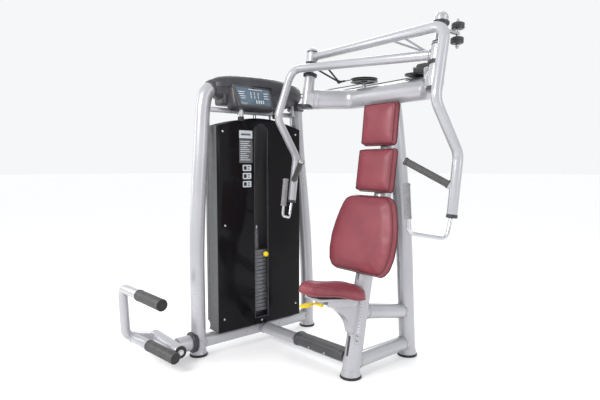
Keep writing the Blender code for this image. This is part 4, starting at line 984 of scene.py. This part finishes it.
panel = arched(SHROUD_Y0, SHROUD_Y1, SHROUD_Z0, SHROUD_Z1, SHROUD_CROWN, SHROUD_FRONT - 0.010,
               SHROUD_FRONT, 0.0016)
slot_cut = arched(-0.125, -0.025, 0.170, 1.370, 0.030, SHROUD_FRONT - 0.030, SHROUD_FRONT + 0.020,
                  0.0)
piece("shroud_panel", carve(panel, slot_cut), PANEL, nodes=["shroud_front"])
outer_rim = arched(-0.1285, -0.0215, 0.1665, 1.3705, 0.033, SHROUD_FRONT - 0.0106,
                   SHROUD_FRONT + 0.0018, 0.0012)
inner_rim = arched(-0.1245, -0.0255, 0.1705, 1.3695, 0.030, SHROUD_FRONT - 0.030,
                   SHROUD_FRONT + 0.020, 0.0)
piece("shroud_slot_rim", carve(outer_rim, inner_rim), DARK)

shell = arched(SHROUD_Y0, SHROUD_Y1, SHROUD_Z0, SHROUD_Z1, SHROUD_CROWN, SHROUD_BACK,
               SHROUD_FRONT - 0.0103, 0.004)
hollow = block((SHROUD_BACK + 0.008, SHROUD_Y0 + 0.010, -0.2),
               (SHROUD_FRONT + 0.05, SHROUD_Y1 - 0.010, 2.0), 0.003)
notch = rod(0.030, 0.2, -0.2, (SHROUD_BACK, SHROUD_Y0, 0.150), (0, 1, 0), 48)
piece("shroud_shell", carve(shell, hollow, notch), CHARCOAL, nodes=["shroud_back"])
edge_line = block((SHROUD_BACK + 0.030, SHROUD_Y0 - 0.0008, 0.190),
                  (SHROUD_BACK + 0.034, SHROUD_Y0 + 0.002, 1.360), 0.0006, segments=1)
piece("shroud_edge_line", edge_line, DARK)
screw_places = [(-0.350, 1.345), (-0.352, 0.205), (0.205, 0.205), (0.205, 1.345), (-0.075, 0.147),
                (-0.340, 0.780)]
piece("shroud_screws", together(*[screw((SHROUD_FRONT + 0.0004, y, z), (1, 0, 0), 0.0062, 0.0034)
                                  for y, z in screw_places]), CHROME)
washers = [lathe([(0, 0.0010), (0.0095, 0.0010), (0.0100, 0.0), (0, 0.0)],
                 (SHROUD_FRONT, y, z), (1, 0, 0), 28, soft=0.0003) for y, z in screw_places]
piece("shroud_washers", together(*washers), RUBBER)


def on_panel(y0, y1, z0, z1, lift=0.0004, thick=0.0006, radius=0.002):
    """A thin printed patch on the front panel."""
    return slab(corner_round([(y0, z0), (y1, z0), (y1, z1), (y0, z1)], radius, 4), thick / 2,
                thick * 0.3, facing((SHROUD_FRONT + lift, 0, 0), (1, 0, 0), (0, 1, 0)), 1)


LABEL_Y0, LABEL_Y1 = -0.236, -0.140
piece("label_head", on_panel(LABEL_Y0, LABEL_Y1, 1.308, 1.356), INK)
piece("label_head_mark", on_panel(-0.222, -0.154, 1.326, 1.338, 0.0009, 0.0005, 0.004), INK_DIM)
piece("label_plate", on_panel(LABEL_Y0, LABEL_Y1, 1.158, 1.302), INK_DIM)
label_lines = [on_panel(-0.228, -0.228 + w, 1.287 - 0.0125 * i, 1.2915 - 0.0125 * i, 0.0009,
                        0.0005, 0.0008)
               for i, w in enumerate((0.068, 0.058, 0.074, 0.050, 0.066, 0.072, 0.044, 0.062,
                                      0.054, 0.072))]
piece("label_lines", together(*label_lines), INK)
icon_tops = (1.146, 1.096, 1.046)
piece("label_icons", together(*[on_panel(-0.212, -0.150, top - 0.038, top, radius=0.006)
                                for top in icon_tops]), INK)
icon_marks = []
for top in icon_tops:
    icon_marks += [on_panel(-0.205, -0.184, top - 0.031, top - 0.007, 0.0009, 0.0005, 0.005),
                   on_panel(-0.177, -0.158, top - 0.015, top - 0.009, 0.0009, 0.0005, 0.001),
                   on_panel(-0.177, -0.161, top - 0.029, top - 0.023, 0.0009, 0.0005, 0.001)]
piece("label_icon_marks", together(*icon_marks), BLACK_OXIDE)

# ---- console -----------------------------------------------------------------
console_line = [(0.0, 0.100), (0.09, 0.0992), (0.17, 0.0955), (0.24, 0.0885), (0.29, 0.0790),
                (0.322, 0.064), (0.338, 0.044), (0.3445, 0.020), (0.343, -0.002), (0.334, -0.024),
                (0.305, -0.047), (0.262, -0.066), (0.20, -0.083), (0.13, -0.095), (0.06, -0.102),
                (0.0, -0.104)]
console_mesh = lathe(console_line, sides=120, soft=0.02)
CONSOLE_Y, CONSOLE_SHARE = -0.055, 0.44          # its middle, and its width against its length
console_mesh.transform(Matrix.Translation((TOWER_X, CONSOLE_Y, 1.592))
                       @ Matrix.Diagonal((CONSOLE_SHARE, 1, 1, 1)))
screen_tilt = Matrix.Rotation(math.radians(-14), 4, "Y")
screen_mid = Vector((TOWER_X + 0.148, -0.183, 1.552))
screen_seat = block((-0.006, -0.137, -0.064), (0.060, 0.137, 0.064), 0.012, segments=4)
screen_seat.transform(Matrix.Translation(screen_mid) @ screen_tilt)
piece("console_shell", carve(console_mesh, screen_seat), DARK, nodes=["console_housing"],
      sharp=50.0)
pod = block((TOWER_X + 0.045, -0.321, 1.474), (TOWER_X + 0.150, 0.000, 1.609), 0.026, screen_tilt,
            7)
piece("console_pod", pod, DARK)
side_housing = block((TOWER_X - 0.050, -0.340, 1.503), (TOWER_X + 0.078, -0.215, 1.600), 0.018,
                     segments=6)
piece("console_side_housing", side_housing, DARK)
seam_r, seam_turns = 0.3452, [math.radians(-72 + 324 * k / 120 + 90) for k in range(121)]
seam_line = [Vector((TOWER_X + CONSOLE_SHARE * seam_r * math.cos(a),
                     CONSOLE_Y + seam_r * math.sin(a), 1.604)) for a in seam_turns]
piece("console_seam", sweep(seam_line, 0.0016, 8, soft=0.0002), BLACK_OXIDE)


def on_screen(y0, y1, z0, z1, out, thick, soft=0.0004, slant=0.0):
    """A patch on the tilted display, measured from its middle."""
    points = [(y0 + slant, z0), (y1, z0), (y1, z1), (y0, z1)]
    mesh = slab(corner_round(points, min(0.006, (z1 - z0) * 0.3), 5), thick / 2, soft,
                facing((out, 0, 0), (1, 0, 0), (0, 1, 0)), 2)
    mesh.transform(Matrix.Translation(screen_mid) @ screen_tilt)
    return mesh


bezel = carve(on_screen(-0.138, 0.135, -0.064, 0.064, 0.000, 0.010, 0.003, 0.026),
              on_screen(-0.1235, 0.1215, -0.0535, 0.0535, 0.000, 0.030, 0.0, 0.030))
piece("display_bezel", bezel, CHARCOAL)
piece("display_glass", on_screen(-0.125, 0.123, -0.055, 0.055, -0.0002, 0.008, 0.0006, 0.030),
      SCREEN, nodes=["console_display"])
bars = [(-0.030, 0.070, 0.041, 0.046), (-0.106, -0.060, 0.022, 0.027),
        (-0.104, -0.066, 0.009, 0.014), (-0.096, -0.058, -0.004, 0.001),
        (-0.090, -0.060, -0.017, -0.012), (0.074, 0.110, 0.022, 0.027),
        (0.074, 0.104, 0.006, 0.011), (0.074, 0.108, -0.010, -0.005),
        (0.014, 0.022, -0.043, -0.020), (0.030, 0.038, -0.043, -0.020),
        (0.046, 0.054, -0.043, -0.020), (0.062, 0.070, -0.043, -0.020)]
digits = []
for y in (-0.020, 0.006, 0.032):
    digits += [(y, y + 0.005, -0.012, 0.006), (y, y + 0.005, 0.009, 0.028)]
piece("display_bars", together(*[on_screen(*bar, 0.0040, 0.0007, 0.0002) for bar in bars + digits]),
      INK)

# Lower part of the console: rod sleeves, a rounded bulge and the seat of the front tube.
sleeves = [lathe([(0, 0.090), (0.0165, 0.090), (0.0165, -0.070), (0.0150, -0.074), (0, -0.074)],
                 (TOWER_X + 0.092, -0.236, 1.500), sides=36),
           lathe([(0, 0.040), (0.0150, 0.040), (0.0150, -0.030), (0.0135, -0.034), (0, -0.034)],
                 (TOWER_X + 0.080, 0.030, 1.490), sides=36)]
sleeve_ends = [lathe([(0, 0.012), (0.0185, 0.012), (0.0190, -0.008), (0.0160, -0.014), (0, -0.014)],
                     at, sides=36) for at in ((TOWER_X + 0.092, -0.236, 1.424),
                                              (TOWER_X + 0.080, 0.030, 1.452))]
piece("console_sleeves", together(*sleeves), CHROME)
piece("console_sleeve_ends", together(*sleeve_ends), RUBBER)
bulge = lathe([(0, 0.03), (0.050, 0.026), (0.064, 0.004), (0.058, -0.018), (0.030, -0.034),
               (0, -0.038)], sides=56, soft=0.008)
bulge.transform(Matrix.Translation((TOWER_X + 0.060, STACK_Y - 0.035, 1.510))
                @ Matrix.Diagonal((0.8, 1.3, 1, 1)))
piece("console_bulge", bulge, DARK)
collar = lathe([(0.0445, 0.016), (0.050, 0.016), (0.0525, 0.012), (0.0525, -0.012), (0.050, -0.016),
                (0.0445, -0.016)], (TOWER_X, -0.376, 1.600), (0, 0.86, 0.50), closed=True)
piece("console_front_collar", collar, DARK)


# ---- pads --------------------------------------------------------------------
FILL_FRAMES = 20                 # how long a cushion's filling is simulated


def settle(mesh, held, limit, pressure=4.0, voxel=0.0055):
    """Fills a closed mesh like a stuffed pad with a cloth simulation; held(v) keeps a point still."""
    work = linked("filling", mesh)
    remesh = work.modifiers.new("skin", "REMESH")
    remesh.mode, remesh.voxel_size = "VOXEL", voxel
    bpy.context.view_layer.update()
    skin = bpy.data.meshes.new_from_object(evaluated(work))
    bpy.data.objects.remove(work, do_unlink=True)
    rest = [v.co.copy() for v in skin.vertices]
    pad_obj = linked("filling", skin)
    pins = pad_obj.vertex_groups.new(name="held")
    for v in skin.vertices:
        pins.add([v.index], held(v.co), "REPLACE")
    cloth = pad_obj.modifiers.new("fill", "CLOTH")
    cloth.settings.use_pressure = True
    cloth.settings.uniform_pressure_force = pressure
    cloth.settings.effector_weights.gravity = 0.0
    cloth.settings.vertex_group_mass = "held"
    cloth.settings.quality = 4
    cloth.settings.bending_stiffness = 2.0
    cloth.point_cache.frame_start, cloth.point_cache.frame_end = 1, FILL_FRAMES
    for step in range(1, FILL_FRAMES + 1):
        bpy.context.scene.frame_set(step)
    moved = [v.co.copy() for v in evaluated(pad_obj).data.vertices]
    bpy.data.objects.remove(pad_obj, do_unlink=True)
    bpy.context.scene.frame_set(1)
    for v, a, b in zip(skin.vertices, rest, moved):
        step = b - a
        v.co = a + (step if step.length < limit else step.normalized() * limit)
    return skin


def inset(ring, depth):
    """A flat closed line moved inwards by a distance."""
    out = []
    for k, p in enumerate(ring):
        along = (ring[(k + 1) % len(ring)] - ring[k - 1]).normalized()
        out.append(p + Vector((-along.y, along.x, 0.0)) * depth)
    return out


PAD_EDGE = [(0.0, 0.004), (0.10, 0.001), (0.35, 0.0), (0.54, 0.0010), (0.70, 0.0042),
            (0.82, 0.0090), (0.91, 0.0145), (0.965, 0.0200)]       # (share of thickness, inset)
SEAT_EDGE = [(0.0, 0.012), (0.12, 0.003), (0.32, 0.0), (0.48, 0.0010), (0.63, 0.0050),
             (0.76, 0.0115), (0.87, 0.0200), (0.95, 0.0290)]


# How far and how often a settled cushion is evened out, and the board behind it.
SMOOTH_SHARE, SMOOTH_PASSES = 0.5, 22
BOARD_HALF, BOARD_SOFT, BOARD_BACK = 0.006, 0.0015, 0.0045


def upholstered(name, node, ring, thick, at, edge, body="frame", crown=0.006, dish=None,
                droop=None, limit=0.005, board=CHARCOAL, board_inset=0.012, welt=SHADED_WELT):
    """A pad on a board: the anticlockwise ring in local XY, the front face towards +Z, the back at 0."""
    middle = sum(ring, Vector()) / len(ring)
    loops = [[p + Vector((0, 0, height * (thick - 0.003))) for p in inset(ring, depth)]
             for height, depth in edge]
    rim = inset(ring, edge[-1][1])
    for share in (0.94, 0.82, 0.62, 0.40, 0.18):
        lift = Vector((0, 0, thick - 0.003 + crown * (1 - share ** 2)))
        loops.append([middle + (p - middle) * share + lift for p in rim])
    if dish:
        for p in (p for loop in loops for p in loop):
            p.z += dish(p.x, p.y) * max(0.0, p.z / thick) + droop(p.x, p.y)
    skin = settle(loft(loops), lambda co: 1.0 if co.z < thick * 0.45 else 0.0, limit)
    tree = BVHTree.FromPolygons([v.co.copy() for v in skin.vertices],
                                [tuple(p.vertices) for p in skin.polygons])

    def on_skin(height, depth):
        line = []
        for p in inset(ring, depth):
            probe = p + Vector((0, 0, height * thick))
            if dish:
                probe.z += dish(probe.x, probe.y) * height + droop(probe.x, probe.y)
            line.append(tree.find_nearest(probe)[0])
        return line + line[:1]

    front_welt = sweep(on_skin(0.80, 0.006), 0.0024, 10, soft=0.0003)
    back_welt = sweep(on_skin(0.14, -0.003), 0.0026, 10, soft=0.0003)
    stitch_line = even(on_skin(0.97, 0.018), 0.0050)
    stitches = []
    for a, b in zip(stitch_line, stitch_line[1:]):
        out = tree.find_nearest((a + b) / 2)[1]
        stitches.append(sweep([a.lerp(b, 0.16) + out * 0.0001, (a + b) / 2 + out * 0.0005,
                               a.lerp(b, 0.80) + out * 0.0001], 0.0005, 6, soft=0.0001))
    for mesh in (skin, front_welt, back_welt, *stitches):
        mesh.transform(at)
    cushion = piece(name, skin, VINYL, body, [node], sharp=180.0)
    smooth = cushion.modifiers.new("smooth", "SMOOTH")
    smooth.factor, smooth.iterations = SMOOTH_SHARE, SMOOTH_PASSES
    finer = cushion.modifiers.new("finer", "SUBSURF")
    finer.levels = finer.render_levels = 1
    # On the back pads the welts' darker maroon is painted shade.
    piece(f"{name}_welts", together(front_welt, back_welt), welt, body)
    piece(f"{name}_stitches", together(*stitches), THREAD, body)
    sheet = slab([(p.x, p.y) for p in inset(ring, board_inset)], BOARD_HALF, BOARD_SOFT,
                 at @ Matrix.Translation((0, 0, -BOARD_BACK)))
    piece(f"{name}_board", sheet, board, body)


def pad_ring(right, corner):
    """A symmetric outline from its right side, bottom to top, rounded and evenly spaced."""
    ring = [Vector((x, y, 0)) for x, y in right + [(-x, y) for x, y in reversed(right)]]
    start = (ring[-1] + ring[0]) / 2
    return even(rounded([start] + ring + [start], corner, 10), 0.006)[:-1]


LOW_SIDE = [(0, 0.170), (0.035, 0.190), (0.10, 0.212), (0.25, 0.228), (0.45, 0.230), (0.62, 0.218),
            (0.78, 0.200), (0.90, 0.181), (0.965, 0.160), (1, 0.120)]   # (share of height, half width)
BACK_PADS = {"low": ((-0.002, 0.578), (0.103, 0.988), LOW_SIDE, 0.054, 0.060),
             "middle": ((0.134, 1.003), (0.168, 1.240), [(0, 0.129), (1, 0.129)], 0.052, 0.024),
             "top": ((0.169, 1.256), (0.194, 1.490), [(0, 0.119), (1, 0.119)], 0.048, 0.024)}
for label, ((y0, z0), (y1, z1), sides, thick, corner) in BACK_PADS.items():
    length = math.hypot(y1 - y0, z1 - z0)
    ring = pad_ring([(half, (share - 0.5) * length) for share, half in sides], corner)
    lean_back = math.atan2(y1 - y0, z1 - z0)
    middle = Vector((0.0, (y0 + y1) / 2, (z0 + z1) / 2))
    outward = Vector((0, -math.cos(lean_back), math.sin(lean_back)))
    upholstered(f"back_cushion_{label}", f"back_pad_{label}", ring, thick,
                facing(middle - outward * thick, outward, (1, 0, 0)), PAD_EDGE)
    reach = 0.075 - thick / 4
    arm = block((-0.025, -0.035, -reach), (0.025, 0.035, 0.0), 0.004)
    plate = block((-0.040, -0.060, -0.0145), (0.040, 0.060, -0.0105), 0.0015)
    bolts = [hex_nut((x, y, -0.017), (0, 0, 1), 0.0080, 0.005) for x in (-0.032, 0.032)
             for y in (-0.048, 0.048)]
    mount = together(arm, plate)
    for mesh in (mount, *bolts):
        mesh.transform(facing(middle - outward * (thick - 0.001), outward, (1, 0, 0)))
    piece(f"back_bracket_{label}", mount, PAINT)
    piece(f"back_bracket_bolts_{label}", together(*bolts), ZINC)


def saddle_dish(x, y):
    """Height of the saddle's top: a raised nose, a hollow, and a rear that falls away."""
    along = max(0.0, 1 - ((y + 0.150) / 0.130) ** 2)
    across = max(0.0, 1 - (x / 0.090) ** 2)
    rear = min(1.0, max(0.0, (y + 0.110) / 0.120))
    return -0.012 * along * (0.45 + 0.55 * across) - 0.016 * rear * rear


def saddle_droop(x, y):
    """How far the two rear lobes hang beside the seat's plate."""
    aside = min(1.0, max(0.0, (abs(x) - 0.055) / 0.045))
    rear = min(1.0, max(0.0, (y + 0.190) / 0.120))
    return -0.016 * aside * rear


seat_pivot = Matrix.Translation((0.0, SEAT_TURN_Y, SEAT_Z))
seat_lean = seat_pivot @ Matrix.Rotation(-SEAT_TILT, 4, "X") @ seat_pivot.inverted()
# The seat's board is black rubber set well in, as painted shade under the cushion.
upholstered("seat_cushion", "seat_pad", pad_ring([(w, y) for y, w in SADDLE], 0.05), 0.070,
            seat_lean @ Matrix.Translation((0, 0, SEAT_Z + 0.0105)), SEAT_EDGE, "seat",
            crown=0.005, dish=saddle_dish, droop=saddle_droop, limit=0.006, board=RUBBER,
            board_inset=0.045, welt=VINYL)

# ---- seat carriage and its release lever -------------------------------------
def tilted(y, z):
    """Where a point of the level seat goes when the seat is tilted."""
    place = seat_lean @ Vector((0.0, y, z))
    return (place.y, place.z)


arc_line = flowing([(*tilted(-0.250, 0.456), 0), (-0.205, 0.436, 0), (-0.160, 0.416, 0),
                    (-0.112, 0.385, 0), (-0.070, 0.347, 0), (-0.040, 0.303, 0), (-0.024, 0.250, 0)],
                   8)
cheek_outline = [tilted(-0.250, 0.468), tilted(0.052, 0.468), (0.085, 0.400), (0.040, 0.240),
                 (0.000, 0.236)] + [(p.x, p.y) for p in reversed(arc_line)]
cheek = slab(corner_round(cheek_outline, 0.006, 4), 0.024, 0.004,
             facing((0, 0, 0), (1, 0, 0), (0, 1, 0)), 4)
bore = sweep([on_post(0.10), on_post(0.60)], 0.0488, 48)
piece("seat_gusset", carve(cheek, bore), PAINT, "seat", ["seat_carriage"], sharp=28.0)
seat_plate = block((-0.060, -0.280, 0.4660), (0.060, 0.030, 0.4796), 0.003)
side_webs = [block((x, -0.215, 0.436), (x + 0.006, 0.000, 0.470), 0.002) for x in (-0.050, 0.044)]
seat_bolts = [hex_nut((x, y, 0.4635), (0, 0, 1), 0.0085, 0.006) for x in (-0.036, 0.036)
              for y in (-0.240, -0.060)]
for mesh in (seat_plate, *side_webs, *seat_bolts):
    mesh.transform(seat_lean)
piece("seat_plate", together(seat_plate, *side_webs), PAINT, "seat")
piece("seat_bolts", together(*seat_bolts), ZINC, "seat")
lever_stem = sweep(rounded([(-0.050, -0.197, 0.428), (-0.062, -0.208, 0.428),
                            (-0.071, -0.226, 0.427)], 0.02, 8), 0.0062, 28, soft=0.002)
paddle = lathe([(0, 0.0080), (0.60, 0.0072), (0.88, 0.0048), (1.0, 0.0), (0.88, -0.0048),
                (0.60, -0.0072), (0, -0.0080)], sides=64, soft=0.004)
paddle.transform(Matrix.Translation((-0.072, -0.257, 0.426))
                 @ Matrix.Diagonal((0.023, 0.047, 1.15, 1)))
piece("seat_release_lever", together(lever_stem, paddle), YELLOW, "seat_release", ["seat_lever"])
lever_boss = lathe([(0, 0.030), (0.012, 0.030), (0.012, -0.006), (0.010, -0.010), (0, -0.010)],
                   (-0.048, -0.197, 0.428), (1, 0, 0), 32)
piece("seat_lever_boss", lever_boss, YELLOW, "seat")

# ---- foot lever --------------------------------------------------------------
support = sweep([(TOWER_X, -0.470, LEVER_Z), (TOWER_X, LEVER_Y + 0.030, LEVER_Z)], 0.046, 56)
piece("lever_support_tube", support, PAINT, nodes=["lever_support"])
support_ring = lathe([(0.046, 0.017), (0.057, 0.017), (0.062, 0.011), (0.062, 0.003),
                      (0.0595, 0.001), (0.0595, -0.001), (0.062, -0.003), (0.062, -0.011),
                      (0.057, -0.017), (0.046, -0.017)], (TOWER_X, -0.532, LEVER_Z), (0, 1, 0),
                     closed=True)
ring_floor = block((-1.0, -0.7, -0.2), (-0.6, -0.4, 0.026), 0.001)
piece("lever_support_ring", carve(support_ring, ring_floor), DARK)
sleeve = lathe([(0, 0.172), (0.037, 0.172), (0.039, 0.169), (0.039, -0.176), (0.036, -0.180),
                (0, -0.180)], (-0.871, LEVER_Y, LEVER_Z), (1, 0, 0), 56)
hook_line = rounded([(-1.030, LEVER_Y + 0.01, LEVER_Z), (-1.036, -0.845, 0.130),
                     (-1.062, -0.850, 0.420), (-0.826, -0.838, 0.420)], 0.060, 14)
STUB_ROOT = Vector((-1.036, -0.815, 0.124))
hook = sweep(hook_line, LEVER_R, 48)
stub = sweep([STUB_ROOT, (-0.851, -0.779, 0.112)], LEVER_R, 48)
piece("lever_hook", together(sleeve, hook, stub), PAINT, "foot_lever", ["lever_frame"])
stub_dir = (Vector((-0.855, -0.779, 0.112)) - STUB_ROOT).normalized()
lever_welds = [bead(STUB_ROOT + stub_dir * 0.031, stub_dir, 0.0285, 0.003),
               bead((-1.031, LEVER_Y - 0.040, LEVER_Z + 0.008), (0, -1, 0.2), 0.0285, 0.003,
                    seed=4)]
piece("lever_welds", together(*lever_welds), WELD, "foot_lever")
end_cap = lathe([(0, 0.006), (0.030, 0.006), (0.036, 0.002), (0.036, -0.006), (0, -0.006)],
                (-0.698, LEVER_Y, LEVER_Z), (1, 0, 0), 48)
piece("lever_end_cap", end_cap, RUBBER, "foot_lever")
end_nut = hex_nut((-0.690, LEVER_Y, LEVER_Z), (1, 0, 0), 0.0125, 0.009)
end_washer = rod(0.017, 0.002, -0.002, (-0.693, LEVER_Y, LEVER_Z), (1, 0, 0), 32)
piece("lever_end_bolt", together(end_nut, end_washer), CHROME, "foot_lever")
for label, a, b in (("upper", (-0.830, -0.838, 0.420), (-0.560, -0.822, 0.420)),
                    ("lower", (-0.855, -0.779, 0.112), (-0.610, -0.7303, 0.0958))):
    a, b = Vector(a), Vector(b)
    along = (b - a).normalized()
    piece(f"{label}_foot_peg", ribbed([a + along * 0.016, b - along * 0.004], 0.0322, 0.002, 0.0065,
                                      0.0014, 56), GRIP, "foot_lever", [f"{label}_peg"])
    piece(f"{label}_peg_collar", lathe([(0, 0.010), (0.030, 0.010), (0.0335, 0.007),
                                        (0.0335, -0.006), (0.0305, -0.009), (0, -0.009)],
                                       a + along * 0.008, along, 48), DARK, "foot_lever")
    piece(f"{label}_peg_cap", lathe([(0, 0.005), (0.010, 0.005), (0.012, 0.003), (0.022, 0.003),
                                     (0.024, 0.005), (0.029, 0.004), (0.032, 0.0), (0.032, -0.006),
                                     (0, -0.006)], b - along * 0.005, along, 48), RUBBER,
          "foot_lever")

# ---- floor, light and camera -------------------------------------------------
bm = bmesh.new()
bmesh.ops.create_circle(bm, cap_ends=True, segments=96, radius=60.0,
                        matrix=Matrix.Translation((0, 0, -0.0005)))
floor = linked("studio_floor", as_mesh(bm))
paper = surface("studio_paper", (0.90, 0.90, 0.90), (0.88, 0.88, 0.88), 0.75, mottle=0.8,
                grain_scale=60.0, grain_height=0.02)
glow = paper.node_tree.nodes["Principled BSDF"].inputs
glow["Emission Color"].default_value = (1, 1, 1, 1)
glow["Emission Strength"].default_value = 0.15
floor.data.materials.append(paper)

bpy.context.scene.view_settings.view_transform = "Standard"
world = bpy.data.worlds.new("studio")
bpy.context.scene.world = world
world.use_nodes = True
sky = world.node_tree.nodes["Background"].inputs
sky["Color"].default_value, sky["Strength"].default_value = (0.98, 0.99, 1.0, 1.0), 0.94


# Softboxes: (place, what it points at, width and height, power).
SOFTBOXES = {"key": ((0.2, -3.6, 3.0), (0.0, 0.0, 0.9), (1.6, 1.6), 100),
             "side": ((3.8, 0.8, 2.2), (0.0, 0.0, 0.9), (1.4, 2.4), 20),
             "back": ((-2.2, 2.4, 3.4), (0.0, 0.0, 1.0), (2.4, 1.6), 45),
             "left": ((-3.2, -2.2, 2.0), (-0.4, 0.0, 0.8), (1.2, 2.4), 25)}
for name, (place, target, size, power) in SOFTBOXES.items():
    light = bpy.data.lights.new(name, "AREA")
    light.shape, light.size, light.size_y, light.energy = "RECTANGLE", size[0], size[1], power
    lamp = linked(name, light)
    lamp.location = place
    lamp.rotation_euler = (Vector(target) - Vector(place)).to_track_quat("-Z", "Y").to_euler()

SENSOR, LENS = 36.0, 29.037
CAMERA_AT, CAMERA_PITCH, CAMERA_TURN = (2.0270, -1.6714, 1.1500), 85.768, 50.308
camera = linked("camera", bpy.data.cameras.new("camera"))
camera.data.sensor_width, camera.data.lens = SENSOR, LENS
camera.location = CAMERA_AT
camera.rotation_euler = (math.radians(CAMERA_PITCH), 0.0, math.radians(CAMERA_TURN))
bpy.context.scene.camera = camera
